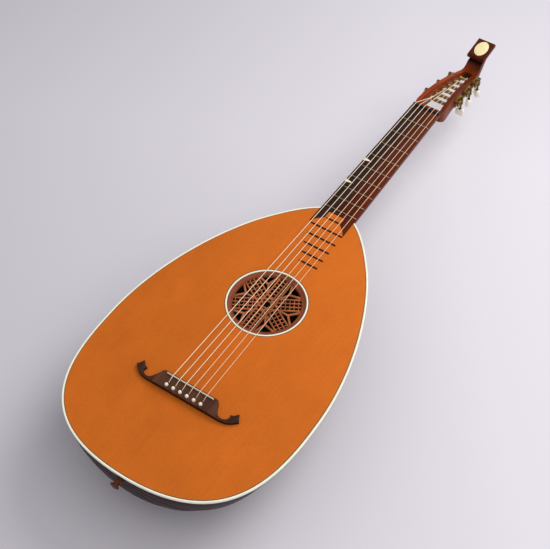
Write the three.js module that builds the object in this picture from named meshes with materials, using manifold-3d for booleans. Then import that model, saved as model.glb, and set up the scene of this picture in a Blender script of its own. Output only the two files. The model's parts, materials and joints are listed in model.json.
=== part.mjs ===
// Lute guitar: a bowl-backed body with a guitar neck, a sickle-shaped pegbox and six strings.
// Millimetres. X runs across the strings (treble side positive), Y along them towards the head,
// and Z out of the soundboard. While it is built, Y is 0 at the nut and Z is 0 at the soundboard's
// face. At the end the whole object is moved so that its box stands on the origin.
import * as THREE from 'three';
import { mergeVertices } from 'three/addons/utils/BufferGeometryUtils.js';
import Module from 'manifold-3d';

const wasm = await Module();
wasm.setup();

// Fits
const gap = 0.3;
const overrun = 2;

// Playing lengths and strings
const scaleLength = 620;
const octaveFrets = 12;
const stringSpacingAtNut = 7.7;
const stringSpacingAtSaddle = 10.8;
const stringRadii = [0.55, 0.5, 0.5, 0.45, 0.42, 0.4];
const stringCount = stringRadii.length;

// Places along the strings, as shares of the scale length from the nut towards the tail
const placeShares = {
  bodyTop: 0.4076,
  boardBody: 0.4145,
  tongueTop: 0.4194,
  tailTip: 0.4673,
  rose: 0.7189,
  saddle: 0.9948,
  bodyTail: 1.23,
};

// Soundboard, binding and bowl
const soundboardThickness = 2.6;
const bodyHalfWidth = 162.6;
const bodyLength = (placeShares.bodyTail - placeShares.bodyTop) * scaleLength;
const bodyTailY = -placeShares.bodyTail * scaleLength;
const bindingWidth = 3.3;
const bindingHeight = 4;
const ribCount = 9;
const ribThickness = 2.4;
const bowlHalfAngle = THREE.MathUtils.degToRad(74);

// Half of the soundboard's edge, from the tail round to the neck: shares of the half width and of
// the length, measured from the tail. Three curves and one short straight run at the widest place.
const edgeShares = {
  tail: [[0, 0], [0.862, 0], [1, 0.158], [1, 0.352]],
  widest: [[1, 0.352], [1, 0.372]],
  flank: [[1, 0.372], [1, 0.579], [0.72, 0.779], [0.509, 0.869]],
  shoulder: [[0.509, 0.869], [0.341, 0.942], [0.173, 1], [0, 1]],
};

// Where the edge is cut into flats, as shares of each curve
const tailStepShares = [0, 0.06, 0.13, 0.21, 0.29, 0.37, 0.45, 0.54, 0.63, 0.72, 0.81, 0.9];
const widestStepShares = [0, 1];
const flankStepShares = [0.13, 0.27, 0.41, 0.55, 0.7, 0.85];
const shoulderStepShares = [0, 0.25, 0.5];

// Neck and fingerboard
const boardThickness = 4;
const boardHalfAtNut = 23.6;
const boardHalfAtBody = 27.8;
const boardBodyY = -placeShares.boardBody * scaleLength;
const tongueHalfWidth = 13;
const tongueTopY = -placeShares.tongueTop * scaleLength;
const tailTipY = -placeShares.tailTip * scaleLength;
const fretWidth = 2;
const fretHeight = 1;
const fretInset = 0.4;
const fretSink = 0.6;
const neckFretCount = 9;
const woodFretWidth = 1.9;
const woodFretHeight = 0.9;
const woodFretStartShares = [-1, -0.93, -0.66, -0.48, -0.26, -0.03];
const nutLength = 4;
const nutHeight = 1;
const nutInset = 0.5;
const neckDepthAtNut = 15.5;
const neckSides = 10;
const markerDepth = 1.2;
const markerLength = 5.4;
const markerReach = 12.2;

// Rose
const roseX = 3;
const roseY = -placeShares.rose * scaleLength;
const roseRingRadius = 55.6;
const roseRingWidth = 2.4;
const roseThickness = 2.2;
const roseRecess = 4;
const roseWall = 1.6;
const roseSegments = 48;

// Bridge, saddle and pins
const saddleY = -placeShares.saddle * scaleLength;
const saddleTopZ = 10.1;
const saddleWidth = 2.4;
const saddleHalfLength = 37;
const saddleSeat = 2.5;
const bridgeHeight = 7.6;
const bridgeTipHeight = 4.4;
const bridgeFrontLand = 3;
const bridgeRearLand = 20;
const bridgeTipX = 81.5;
const bridgeTipLand = 0.8;
const pinSetback = 15.4;
const bridgeFrontY = saddleY + bridgeFrontLand;
const bridgeRearY = saddleY - bridgeRearLand;
const bridgeTipY = saddleY + bridgeTipLand;
const pinY = saddleY - pinSetback;
const pinBallRadius = 2.5;
const pinShankRadius = 1.9;
const pinLength = 13;
const pinSegments = 10;

// Pegbox and tablet
const pegboxStartY = 5;
const pegboxSideStartY = 20;
const pegboxSideEndY = 145;
const pegboxHalfAtStart = 22.2;
const pegboxHalfAtSideStart = 24.7;
const pegboxHalfAtSideEnd = 15.6;
const throatHalfWidth = 12.2;
const slotStartY = 12;
const slotHalfAtStart = 18.8;
const slotThroughEndY = 145;
const slotEndY = 152;
const slotHalfAtEnd = 7.4;
const slotFloor = 5;
const tabletLength = 41;
const tabletHalfWidth = 15.2;
const tabletThickness = 8;
const tabletBevel = 1.2;
const tabletLowY = 169.2;
const tabletLowZ = -17.8;
const tabletTilt = THREE.MathUtils.degToRad(6);
const tabletFootY = 173.5;
const tabletFootEndY = 196;
const medallionHalfLength = 16.4;
const medallionHalfWidth = 10.5;
const medallionThickness = 1.6;
const medallionRise = 0.4;

// Tuners
const rollerRadius = 3;
const firstRollerY = 47;
const firstRollerZ = -20.4;
const rollerPitch = 18.2;
const rollerDrop = 4.7;
const tunerTilt = THREE.MathUtils.degToRad(-3);
const rollerSeat = 2.6;
const rollerSides = 12;
const gearTeeth = 14;
const gearTipRadius = 5.9;
const gearRootRadius = 4.6;
const gearPitchRadius = 5.5;
const gearThickness = 2.6;
const toothTipWidth = 0.8;
const toothRootWidth = 1.5;
const rollerNeckRadius = 2.2;
const wormRootRadius = 2.1;
const wormCrestRadius = 3.2;
const wormCore = 1.7;
const wormTurns = 2.4;
const wormSides = 10;
const threadRootWidth = 1;
const threadCrestWidth = 0.35;
const journalRadius = 1.5;
const plateThickness = 1.2;
const plateHalfHeight = 7;
const plateNutSide = 6.4;
const plateHeadSide = 12;
const earThickness = 2;
const earOffset = 5;
const earReach = 2.4;
const wormFrontReach = 1;
const buttonDistance = 22.6;
const buttonHalfLength = 6.5;
const buttonHalfWidth = 7;
const buttonHalfThickness = 3.8;
const buttonTurnShares = [0.1, 0.25, 0.2, 0.02, 0.05, 0.14];

// Windings
const windingLoops = 2;
const windingStepsPerLoop = 24;
const windingGap = 0.5;
const stringSides = 6;
const windingStarts = [-11.2, -7.6, -3.1, 3.1, 7, 10.6];
const rollerOfString = [0, 2, 4, 5, 3, 1];

// End button
const buttonZ = -10.5;
const endButtonCollar = 5;
const endButtonWaist = 3.4;
const endButtonHead = 6.4;
const endButtonLength = 13;
const endButtonShank = 2.4;
const endButtonSegments = 16;
const claspHalfWidth = 22;

// Blocks and braces inside the bowl
const tailBlockDepth = 16;
const neckBlockLength = 34;
const braceWidth = 8;
const braceHeight = 12;
const braceShares = [0.82, 0.447, 0.152];
const braceEndClearance = 9;

const spruce = new THREE.MeshStandardMaterial({ color: 0xd07030, roughness: 0.35, metalness: 0 });
const paleBinding = new THREE.MeshStandardMaterial({ color: 0xf6edd2, roughness: 0.4, metalness: 0 });
const darkRib = new THREE.MeshStandardMaterial({ color: 0x46302e, roughness: 0.35, metalness: 0 });
const innerWood = new THREE.MeshStandardMaterial({ color: 0xb58a5a, roughness: 0.8, metalness: 0 });
const roseWood = new THREE.MeshStandardMaterial({ color: 0x96553a, roughness: 0.6, metalness: 0 });
const rosewood = new THREE.MeshStandardMaterial({ color: 0x47302a, roughness: 0.45, metalness: 0 });
const boardWood = new THREE.MeshStandardMaterial({ color: 0x40231f, roughness: 0.5, metalness: 0 });
const headWood = new THREE.MeshStandardMaterial({ color: 0x82331a, roughness: 0.35, metalness: 0 });
const bone = new THREE.MeshStandardMaterial({ color: 0xf4e9c4, roughness: 0.45, metalness: 0 });
const blackNut = new THREE.MeshStandardMaterial({ color: 0x16181a, roughness: 0.4, metalness: 0 });
const brass = new THREE.MeshStandardMaterial({ color: 0xb08d3c, roughness: 0.35, metalness: 1 });
const gut = new THREE.MeshStandardMaterial({ color: 0xf2e3c2, roughness: 0.5, metalness: 0 });
const turnedWood = new THREE.MeshStandardMaterial({ color: 0x4b2a1c, roughness: 0.4, metalness: 0 });

const lute = new THREE.Group();

function addPiece(name, geometry, material, parent = lute) {
  const mesh = new THREE.Mesh(geometry, material);
  mesh.name = name;
  parent.add(mesh);
  return mesh;
}

// Solids for cuts and joins

function solidOf(geometry) {
  const bare = geometry.clone();
  bare.deleteAttribute('normal');
  bare.deleteAttribute('uv');
  const merged = mergeVertices(bare);
  const mesh = new wasm.Mesh({
    numProp: 3,
    vertProperties: new Float32Array(merged.attributes.position.array),
    triVerts: new Uint32Array(merged.index.array),
  });
  return new wasm.Manifold(mesh);
}

function geometryOf(solid) {
  const mesh = solid.getMesh();
  const geometry = new THREE.BufferGeometry();
  geometry.setAttribute('position', new THREE.BufferAttribute(mesh.vertProperties, mesh.numProp));
  geometry.setIndex(new THREE.BufferAttribute(mesh.triVerts, 1));
  geometry.computeVertexNormals();
  return geometry;
}

function boxGeometry(low, high) {
  const size = high.clone().sub(low);
  const middle = high.clone().add(low).divideScalar(2);
  return new THREE.BoxGeometry(size.x, size.y, size.z).translate(middle.x, middle.y, middle.z);
}

function point(x, y, z) {
  return new THREE.Vector3(x, y, z);
}

// A closed body through a row of rings with the same number of corners each
function loftGeometry(rings) {
  const corners = rings[0].length;
  const positions = rings.flat().flatMap((corner) => [corner.x, corner.y, corner.z]);
  const indices = [];
  for (let ring = 0; ring + 1 < rings.length; ring += 1) {
    for (let corner = 0; corner < corners; corner += 1) {
      const next = (corner + 1) % corners;
      const a = ring * corners + corner;
      const b = ring * corners + next;
      const c = a + corners;
      const d = b + corners;
      indices.push(a, b, d, a, d, c);
    }
  }
  const last = (rings.length - 1) * corners;
  for (let corner = 1; corner + 1 < corners; corner += 1) {
    indices.push(0, corner + 1, corner);
    indices.push(last, last + corner, last + corner + 1);
  }
  const geometry = new THREE.BufferGeometry();
  geometry.setAttribute('position', new THREE.Float32BufferAttribute(positions, 3));
  geometry.setIndex(facingOut(positions, indices));
  geometry.computeVertexNormals();
  return geometry;
}

// The same triangles, turned over where their volume comes out negative
function facingOut(positions, indices) {
  let volume = 0;
  const corner = (index) => new THREE.Vector3().fromArray(positions, index * 3);
  for (let i = 0; i < indices.length; i += 3) {
    const a = corner(indices[i]);
    volume += a.dot(corner(indices[i + 1]).cross(corner(indices[i + 2])));
  }
  return volume >= 0 ? indices : indices.slice().reverse();
}

function plateGeometry(outline, holes, thickness) {
  const shape = new THREE.Shape(outline.map(([x, y]) => new THREE.Vector2(x, y)));
  for (const hole of holes) {
    shape.holes.push(new THREE.Path(hole.map(([x, y]) => new THREE.Vector2(x, y))));
  }
  return new THREE.ExtrudeGeometry(shape, { depth: thickness, bevelEnabled: false });
}

function circlePoints(x, y, radius, segments) {
  return Array.from({ length: segments }, (_, i) => {
    const angle = (i * 2 * Math.PI) / segments;
    return [x + radius * Math.cos(angle), y + radius * Math.sin(angle)];
  });
}

function mirrored(points) {
  return points.slice().reverse().map(([x, y]) => [-x, y]);
}

// Body outline

function edgeCurve(shares) {
  const spots = shares.map(([across, along]) => (
    new THREE.Vector2(across * bodyHalfWidth, bodyTailY + along * bodyLength)));
  return spots.length === 2 ? new THREE.LineCurve(...spots) : new THREE.CubicBezierCurve(...spots);
}

const edgeCurves = Object.values(edgeShares).map(edgeCurve);

// A place on the edge moved outwards by a distance; the whole part of the step picks the curve
function edgePoint(step, outwards) {
  const curveIndex = Math.min(Math.floor(step), edgeCurves.length - 1);
  const curve = edgeCurves[curveIndex];
  const share = step - curveIndex;
  const spot = curve.getPoint(share);
  const tangent = curve.getTangent(share);
  return new THREE.Vector2(spot.x + tangent.y * outwards, spot.y - tangent.x * outwards);
}

// The step between two others at which the moved edge is a given distance from the middle line
function stepAtHalfWidth(halfWidth, outwards, innerStep, outerStep) {
  let near = innerStep;
  let far = outerStep;
  const roundCount = 50;
  for (let round = 0; round < roundCount; round += 1) {
    const middle = (near + far) / 2;
    if (edgePoint(middle, outwards).x < halfWidth) {
      near = middle;
    } else {
      far = middle;
    }
  }
  return (near + far) / 2;
}

const curveSteps = [tailStepShares, widestStepShares, flankStepShares, shoulderStepShares]
  .flatMap((shares, curve) => shares.map((share) => curve + share));
const neckEndStep = edgeCurves.length;
const widestTailStep = edgeCurves.indexOf(edgeCurves[1]);
const shoulderStartStep = neckEndStep - 1;

function boardHalfAt(y) {
  const slope = (boardHalfAtBody - boardHalfAtNut) / -boardBodyY;
  return boardHalfAtNut - slope * y;
}

// The moved edge as flats, from the tail's middle to the side of the fingerboard
function edgeOutline(outwards) {
  const sideHalf = boardHalfAtBody + gap;
  const endStep = stepAtHalfWidth(sideHalf, outwards, neckEndStep, shoulderStartStep);
  const steps = curveSteps.filter((step) => step < endStep);
  return [...steps, endStep].map((step) => edgePoint(step, outwards).toArray());
}

// Fingerboard end: two pointed tails beside a tongue of the soundboard. Growing it gives the cut.
function boardEnd(grow) {
  const tongue = tongueHalfWidth - grow;
  const tipHalf = boardHalfAt(tailTipY);
  const tailWidth = tipHalf - tongueHalfWidth;
  const tailDrop = tongueTopY - tailTipY;
  const waistShare = 0.42;
  const kneeShares = [0.42, 0.68];
  const tipGrowth = 3.4;
  return [
    [tipHalf + grow, tailTipY - tipGrowth * grow],
    [tipHalf - tailWidth * waistShare - grow, tongueTopY - tailDrop * kneeShares[1] - grow],
    [tongue, tongueTopY - tailDrop * kneeShares[0] - grow],
    [tongue, tongueTopY - grow],
  ];
}

function fretY(fret) {
  return -scaleLength * (1 - 2 ** (-fret / octaveFrets));
}

function stringXAtSaddle(index) {
  return (index - (stringCount - 1) / 2) * stringSpacingAtSaddle;
}

function stringXAtNut(index) {
  return (index - (stringCount - 1) / 2) * stringSpacingAtNut;
}

const pinHoleRadius = pinShankRadius + gap;

// Soundboard

function soundboardGeometry() {
  const edge = edgeOutline(-gap);
  const end = boardEnd(gap);
  const half = [...edge.slice(1), ...end];
  const outline = [edge[0], ...half, ...mirrored(half)];
  const ringHole = roseRingRadius + roseRingWidth / 2 + gap;
  const holes = [circlePoints(roseX, roseY, ringHole, roseSegments)];
  for (let string = 0; string < stringCount; string += 1) {
    holes.push(circlePoints(stringXAtSaddle(string), pinY, pinHoleRadius, pinSegments));
  }
  let solid = solidOf(plateGeometry(outline, holes, soundboardThickness)
    .translate(0, 0, -soundboardThickness));
  // Wood frets beyond the fingerboard: all end at its treble edge, and shorten on the bass side
  for (const [i, share] of woodFretStartShares.entries()) {
    const y = fretY(neckFretCount + 1 + i);
    const inTongue = y > tailTipY;
    const reach = inTongue ? tongueHalfWidth - gap - woodFretWidth : boardHalfAt(y);
    const low = point(share * reach, y - woodFretWidth / 2, -soundboardThickness / 2);
    const high = point(reach, y + woodFretWidth / 2, woodFretHeight);
    solid = solid.add(solidOf(boxGeometry(low, high)));
  }
  return geometryOf(solid);
}

function bindingGeometry() {
  const inner = edgeOutline(0);
  const outer = edgeOutline(bindingWidth);
  const outline = [...mirrored(outer).slice(0, -1), ...outer, ...inner.slice().reverse(),
    ...inner.slice(1).map(([x, y]) => [-x, y])];
  return plateGeometry(outline, [], bindingHeight).translate(0, 0, -bindingHeight);
}

// Bowl

const rimZ = -bindingHeight - gap;
const ribAngles = Array.from({ length: ribCount + 1 }, (_, i) => (
  -bowlHalfAngle + (i * 2 * bowlHalfAngle) / ribCount));

// A corner of the bowl's arc at a place of the edge, moved sideways along the arc
function arcPoint(edge, angle, shift) {
  const radius = edge.x / Math.sin(bowlHalfAngle);
  const turned = angle + shift / radius;
  const z = rimZ - radius * (Math.cos(turned) - Math.cos(bowlHalfAngle));
  return point(radius * Math.sin(turned), edge.y, z);
}

const neckHoleHalf = boardHalfAtBody + gap;
const ribInside = bindingWidth - ribThickness;
const tailRibStep = stepAtHalfWidth(claspHalfWidth, bindingWidth, 0, 0.5);
const neckRibStep = stepAtHalfWidth(neckHoleHalf, ribInside, neckEndStep, shoulderStartStep);
const ribSteps = [tailRibStep,
  ...curveSteps.filter((step) => step > tailRibStep && step < neckRibStep), neckRibStep];

function ribGeometry(index) {
  const startShift = index === 0 ? 0 : gap / 2;
  const endShift = index === ribCount - 1 ? 0 : gap / 2;
  const rings = ribSteps.map((step) => {
    const outer = edgePoint(step, bindingWidth);
    const inner = edgePoint(step, ribInside);
    return [
      arcPoint(outer, ribAngles[index], startShift),
      arcPoint(outer, ribAngles[index + 1], -endShift),
      arcPoint(inner, ribAngles[index + 1], -endShift),
      arcPoint(inner, ribAngles[index], startShift),
    ];
  });
  return loftGeometry(rings);
}

// The bowl's arc as a closed outline, for what fills its ends
function arcOutline(halfWidth, y) {
  return ribAngles.map((angle) => arcPoint(new THREE.Vector2(halfWidth, y), angle, 0));
}

const tailOuterY = edgePoint(tailRibStep, bindingWidth).y;
const tailInnerY = tailOuterY + ribThickness;
const shankHoleRadius = endButtonShank + gap;

function shankHole(fromY, toY) {
  const length = toY - fromY + 2 * overrun;
  return solidOf(new THREE.CylinderGeometry(
    shankHoleRadius, shankHoleRadius, length, endButtonSegments)
    .translate(0, (fromY + toY) / 2, buttonZ));
}

function claspGeometry() {
  const plate = solidOf(loftGeometry([tailOuterY, tailInnerY]
    .map((y) => arcOutline(claspHalfWidth - gap, y))));
  return geometryOf(plate.subtract(shankHole(tailOuterY, tailInnerY)));
}

function tailBlockGeometry() {
  const startY = tailInnerY + gap;
  const endY = startY + tailBlockDepth;
  const block = solidOf(loftGeometry([startY, endY]
    .map((y) => arcOutline(claspHalfWidth - 2 * gap, y))));
  return geometryOf(block.subtract(shankHole(startY, endY)));
}

const neckEndY = edgePoint(neckRibStep, ribInside).y - gap;

function neckBlockGeometry() {
  const startY = neckEndY - gap;
  return loftGeometry([startY, startY - neckBlockLength]
    .map((y) => arcOutline(neckHoleHalf - 2 * gap, y)));
}

function braceGeometry(share) {
  const y = bodyTailY + share * bodyLength;
  let near = 1;
  let far = 0;
  const roundCount = 40;
  let low = widestTailStep;
  let high = neckEndStep;
  if (y < edgePoint(widestTailStep, 0).y) {
    low = 0;
    high = widestTailStep;
  }
  for (let round = 0; round < roundCount; round += 1) {
    const tried = (near + far) / 2;
    if (edgePoint(low + tried * (high - low), 0).y < y) {
      far = tried;
    } else {
      near = tried;
    }
  }
  const half = edgePoint(low + near * (high - low), 0).x - braceEndClearance;
  const top = -soundboardThickness - gap;
  return boxGeometry(point(-half, y - braceWidth / 2, top - braceHeight),
    point(half, y + braceWidth / 2, top));
}

// Rose: a cup with a pierced floor. Six arms of three strips cross at a six-sided eye, and a
// chevron stands between each two arms.
const roseOuterRadius = roseRingRadius - roseRingWidth / 2 - gap;
const roseEyeRadius = 6.4;
const roseRimShare = 0.878;
const roseRimRadius = roseRimShare * roseOuterRadius;
const roseArmHalf = 7.6;
const roseStripWidth = 2.6;
const roseRowShares = [0.32, 0.49, 0.66, 0.83];
const roseKnotHalf = 2.2;
const chevronStrip = 2.6;
const chevronApexShare = 0.758;
const chevronApexRadius = chevronApexShare * roseRimRadius;
const chevronHalfAngle = THREE.MathUtils.degToRad(17);

function turned(points, angle) {
  return points.map(([x, y]) => {
    const spot = new THREE.Vector2(x, y).rotateAround(new THREE.Vector2(), angle);
    return [spot.x + roseX, spot.y + roseY];
  });
}

// Openings in the sector along +X from the rose's middle: the arm's own small windows
function armOpenings() {
  const opening = roseArmHalf - roseStripWidth;
  const inner = roseStripWidth / 2;
  return roseRowShares.flatMap((share) => {
    const radius = share * roseRimRadius;
    return [1, -1].map((side) => [
      [radius - roseKnotHalf, side * inner],
      [radius + roseKnotHalf, side * inner],
      [radius + roseKnotHalf, side * opening],
      [radius - roseKnotHalf, side * opening],
    ]);
  });
}

// Openings between two arms, in the sector along +X: two beside the chevron and one outside it
function chevronOpenings() {
  const armEdge = roseArmHalf;
  const armAngle = Math.PI / 6;
  const rimArmAngle = armAngle - Math.asin(armEdge / roseRimRadius);
  const polar = (radius, angle) => [radius * Math.cos(angle), radius * Math.sin(angle)];
  const innerRadius = armEdge / Math.sin(armAngle);
  const rimSpot = polar(roseRimRadius, chevronHalfAngle);
  const apexOut = [chevronApexRadius + chevronStrip, 0];
  const legShare = chevronStrip / roseRimRadius;
  const openings = [1, -1].map((side) => [
    [innerRadius + chevronStrip, side * chevronStrip / 2],
    [chevronApexRadius - chevronStrip, side * chevronStrip / 2],
    polar(roseRimRadius, side * (chevronHalfAngle + legShare)),
    polar(roseRimRadius, side * rimArmAngle),
  ]);
  openings.push([apexOut, rimSpot, [roseRimRadius, 0], [rimSpot[0], -rimSpot[1]]]);
  return openings;
}

function roseGeometry() {
  const sector = Math.PI / 3;
  const quarter = Math.PI / 2;
  const holes = [turned(circlePoints(0, 0, roseEyeRadius, 6), 0)];
  for (let arm = 0; arm < 6; arm += 1) {
    for (const opening of armOpenings()) {
      holes.push(turned(opening, quarter + arm * sector));
    }
    for (const opening of chevronOpenings()) {
      holes.push(turned(opening, quarter + (arm + 1 / 2) * sector));
    }
  }
  const outline = circlePoints(roseX, roseY, roseOuterRadius, roseSegments);
  let floor = solidOf(plateGeometry(outline, [], roseThickness)
    .translate(0, 0, -roseRecess - roseThickness));
  for (const hole of holes) {
    floor = floor.subtract(solidOf(plateGeometry(hole, [], roseThickness + 2 * overrun)
      .translate(0, 0, -roseRecess - roseThickness - overrun)));
  }
  const wallHole = circlePoints(roseX, roseY, roseOuterRadius - roseWall, roseSegments);
  const wallHeight = roseRecess + roseThickness / 2 - gap;
  const wall = plateGeometry(outline, [wallHole], wallHeight)
    .translate(0, 0, -gap - wallHeight);
  return geometryOf(floor.add(solidOf(wall)));
}

function roseRingGeometry() {
  const half = roseRingWidth / 2;
  const outline = circlePoints(roseX, roseY, roseRingRadius + half, roseSegments);
  const hole = circlePoints(roseX, roseY, roseRingRadius - half, roseSegments);
  return plateGeometry(outline, [hole], soundboardThickness)
    .translate(0, 0, -soundboardThickness);
}

// Bridge: a low outline with a curled, flared tip at each end, and a taller middle
const bridgeLength = bridgeFrontY - bridgeRearY;
const bridgeBottomZ = gap;

function bridgeOutline() {
  const spot = (acrossShare, alongShare) => (
    [acrossShare * bridgeTipX, bridgeRearY + alongShare * bridgeLength]);
  const bridgeShares = [
    [0.51, 1], [0.54, 0.9], [0.585, 0.56], [0.65, 0.25], [0.72, 0.16], [0.79, 0.24],
    [0.835, 0.45], [0.825, 0.62],
  ];
  const flareTop = [0.93 * bridgeTipX, bridgeTipY];
  const rearShares = [[1, 0.49], [0.945, 0.38], [0.88, 0.16], [0.8, 0.04], [0.7, 0]];
  return [...bridgeShares.map((share) => spot(...share)), flareTop,
    ...rearShares.map((share) => spot(...share))];
}

function bridgeGeometry() {
  const half = bridgeOutline();
  const whole = [...half, ...mirrored(half)];
  let solid = solidOf(plateGeometry(whole, [], bridgeTipHeight).translate(0, 0, bridgeBottomZ));
  const bodyCornerCount = 3;
  const bodyHalf = [...half.slice(0, bodyCornerCount), [half[bodyCornerCount - 1][0], bridgeRearY]];
  const body = [...bodyHalf, ...mirrored(bodyHalf)];
  const rise = bridgeHeight - bridgeBottomZ;
  solid = solid.add(solidOf(plateGeometry(body, [], rise).translate(0, 0, bridgeBottomZ)));
  const slotHalf = saddleHalfLength + gap;
  const slotHalfWidth = saddleWidth / 2 + gap;
  solid = solid.subtract(solidOf(boxGeometry(
    point(-slotHalf, saddleY - slotHalfWidth, bridgeHeight - saddleSeat - gap),
    point(slotHalf, saddleY + slotHalfWidth, bridgeHeight + overrun))));
  for (let string = 0; string < stringCount; string += 1) {
    const x = stringXAtSaddle(string);
    const length = bridgeHeight + 2 * overrun;
    solid = solid.subtract(solidOf(new THREE.CylinderGeometry(
      pinHoleRadius, pinHoleRadius, length, pinSegments)
      .rotateX(Math.PI / 2).translate(x, pinY, bridgeHeight / 2)));
    solid = solid.subtract(solidOf(stringNotch(string)));
  }
  return geometryOf(solid);
}

// The groove in front of a pin hole, which the string comes up through
const notchReach = 2.4;

function stringNotch(string) {
  const half = stringRadii[string] + gap;
  const x = stringXAtSaddle(string);
  return boxGeometry(point(x - half, pinY, -overrun),
    point(x + half, pinY + pinShankRadius + notchReach, bridgeHeight + overrun));
}

function saddleGeometry() {
  return boxGeometry(
    point(-saddleHalfLength, saddleY - saddleWidth / 2, bridgeHeight - saddleSeat),
    point(saddleHalfLength, saddleY + saddleWidth / 2, saddleTopZ));
}

function pinGeometry(string) {
  const capZ = bridgeHeight + gap;
  const ballStepCount = 5;
  const seatAngle = Math.acos(pinShankRadius / pinBallRadius);
  const profile = [new THREE.Vector2(0, capZ - pinLength),
    new THREE.Vector2(pinShankRadius, capZ - pinLength)];
  const centreZ = capZ + pinBallRadius * Math.sin(seatAngle);
  for (let step = 0; step < ballStepCount; step += 1) {
    const angle = -seatAngle + (step * (Math.PI / 2 + seatAngle)) / ballStepCount;
    profile.push(new THREE.Vector2(
      pinBallRadius * Math.cos(angle), centreZ + pinBallRadius * Math.sin(angle)));
  }
  profile.push(new THREE.Vector2(0, centreZ + pinBallRadius));
  return new THREE.LatheGeometry(profile, pinSegments).rotateX(Math.PI / 2)
    .translate(stringXAtSaddle(string), pinY, 0);
}

// Neck, fingerboard, nut and markers

function fingerboardGeometry() {
  const end = boardEnd(0);
  const half = [[boardHalfAtNut, 0], ...end];
  const outline = [...half, ...mirrored(half)];
  let solid = solidOf(plateGeometry(outline, [], boardThickness)
    .translate(0, 0, -boardThickness));
  for (let fret = 1; fret <= neckFretCount; fret += 1) {
    const y = fretY(fret);
    const reach = boardHalfAt(y + fretWidth / 2) - fretInset;
    solid = solid.add(solidOf(boxGeometry(
      point(-reach, y - fretWidth / 2, -fretSink), point(reach, y + fretWidth / 2, fretHeight))));
  }
  for (const space of markerSpaces) {
    solid = solid.subtract(solidOf(markerGeometry(space, gap, overrun)));
  }
  return geometryOf(solid);
}

// Position markers: flush wedges at the bass edge, in the spaces behind these frets
const markerSpaces = [5, 7];
const markerEdgeInset = 0.6;

function markerGeometry(space, grow, rise) {
  const y = (fretY(space) + fretY(space - 1)) / 2;
  const edge = -boardHalfAt(y) + markerEdgeInset;
  const outline = [
    [edge - grow, y - markerLength / 2 - grow],
    [edge + markerReach + 2 * grow, y - grow / 2],
    [edge + markerReach + 2 * grow, y + grow / 2],
    [edge - grow, y + markerLength / 2 + grow],
  ];
  const tip = grow === 0 ? [outline[0], outline[1], outline[3]] : outline;
  return plateGeometry(tip, [], markerDepth + grow + rise)
    .translate(0, 0, -markerDepth - grow);
}

function neckSection(y, halfWidth, depth) {
  const top = -boardThickness - gap;
  return Array.from({ length: neckSides + 1 }, (_, i) => {
    const angle = (i * Math.PI) / neckSides;
    return point(halfWidth * Math.cos(angle), y, top - depth * Math.sin(angle));
  });
}

function neckGeometry() {
  const heelDepth = arcOutline(neckHoleHalf, 0)
    .reduce((depth, corner) => Math.max(depth, rimZ - corner.z), 0);
  const heelTop = edgePoint(neckRibStep, bindingWidth).y + overrun;
  const rings = [];
  const nutRing = neckSection(pegboxStartY - gap, boardHalfAtNut, neckDepthAtNut);
  const bodyRing = neckSection(heelTop, boardHalfAt(heelTop), heelDepth - gap);
  rings.push(nutRing, bodyRing);
  const shaft = solidOf(loftGeometry(rings));
  const heel = solidOf(loftGeometry([heelTop + gap, neckEndY]
    .map((y) => arcOutline(neckHoleHalf - gap, y))));
  return geometryOf(shaft.add(heel));
}

function nutGeometry() {
  const half = boardHalfAtNut - nutInset;
  return boxGeometry(point(-half, gap, -boardThickness),
    point(half, nutLength + gap, nutHeight));
}

// Pegbox: stations along it give the half width and the front and back heights

function pegboxHalfAt(y) {
  const slope = (pegboxHalfAtSideEnd - pegboxHalfAtSideStart) / (pegboxSideEndY - pegboxSideStartY);
  return pegboxHalfAtSideStart + slope * (y - pegboxSideStartY);
}

function slotHalfAt(y) {
  return slotHalfAtStart + (y - slotStartY) * (slotHalfAtEnd - slotHalfAtStart)
    / (slotEndY - slotStartY);
}

// Front and back of the pegbox, as shares of its length to the tablet's end and of its drop
const pegboxLength = tabletFootEndY - pegboxStartY;
const pegboxDrop = 56;
const pegboxFrontShares = [
  [0, -0.043], [0.047, -0.045], [0.131, -0.05], [0.209, -0.082], [0.288, -0.129],
  [0.366, -0.193], [0.445, -0.271], [0.524, -0.368], [0.602, -0.479], [0.707, -0.625],
  [0.759, -0.7], [0.791, -0.723], [0.817, -0.707], [0.843, -0.636], [0.864, -0.536],
];
const pegboxBackShares = [
  [0, -0.346], [0.047, -0.482], [0.099, -0.554], [0.209, -0.561], [0.288, -0.586],
  [0.445, -0.693], [0.602, -0.836], [0.707, -0.946], [0.77, -1], [0.822, -1], [0.864, -0.946],
  [0.906, -0.804], [0.948, -0.634], [1, -0.475],
];
const throatShares = [[0.733, 0], [0.8, 0.5], [0.874, 1], [1, 1]];

function alongShares(table, share) {
  if (share <= table[0][0]) {
    return table[0][1];
  }
  for (let i = 0; i + 1 < table.length; i += 1) {
    const [fromAlong, fromValue] = table[i];
    const [toAlong, toValue] = table[i + 1];
    if (share <= toAlong) {
      return fromValue + ((toValue - fromValue) * (share - fromAlong)) / (toAlong - fromAlong);
    }
  }
  return table[table.length - 1][1];
}

function pegboxShare(y) {
  return (y - pegboxStartY) / pegboxLength;
}

function tabletBackZ(y) {
  return tabletLowZ + (y - tabletLowY) * Math.tan(tabletTilt) - tabletThickness
    / Math.cos(tabletTilt) - gap;
}

function pegboxFrontZ(y) {
  if (y >= tabletFootY) {
    return tabletBackZ(y);
  }
  return alongShares(pegboxFrontShares, pegboxShare(y)) * pegboxDrop;
}

function pegboxBackZ(y) {
  return alongShares(pegboxBackShares, pegboxShare(y)) * pegboxDrop;
}

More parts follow.
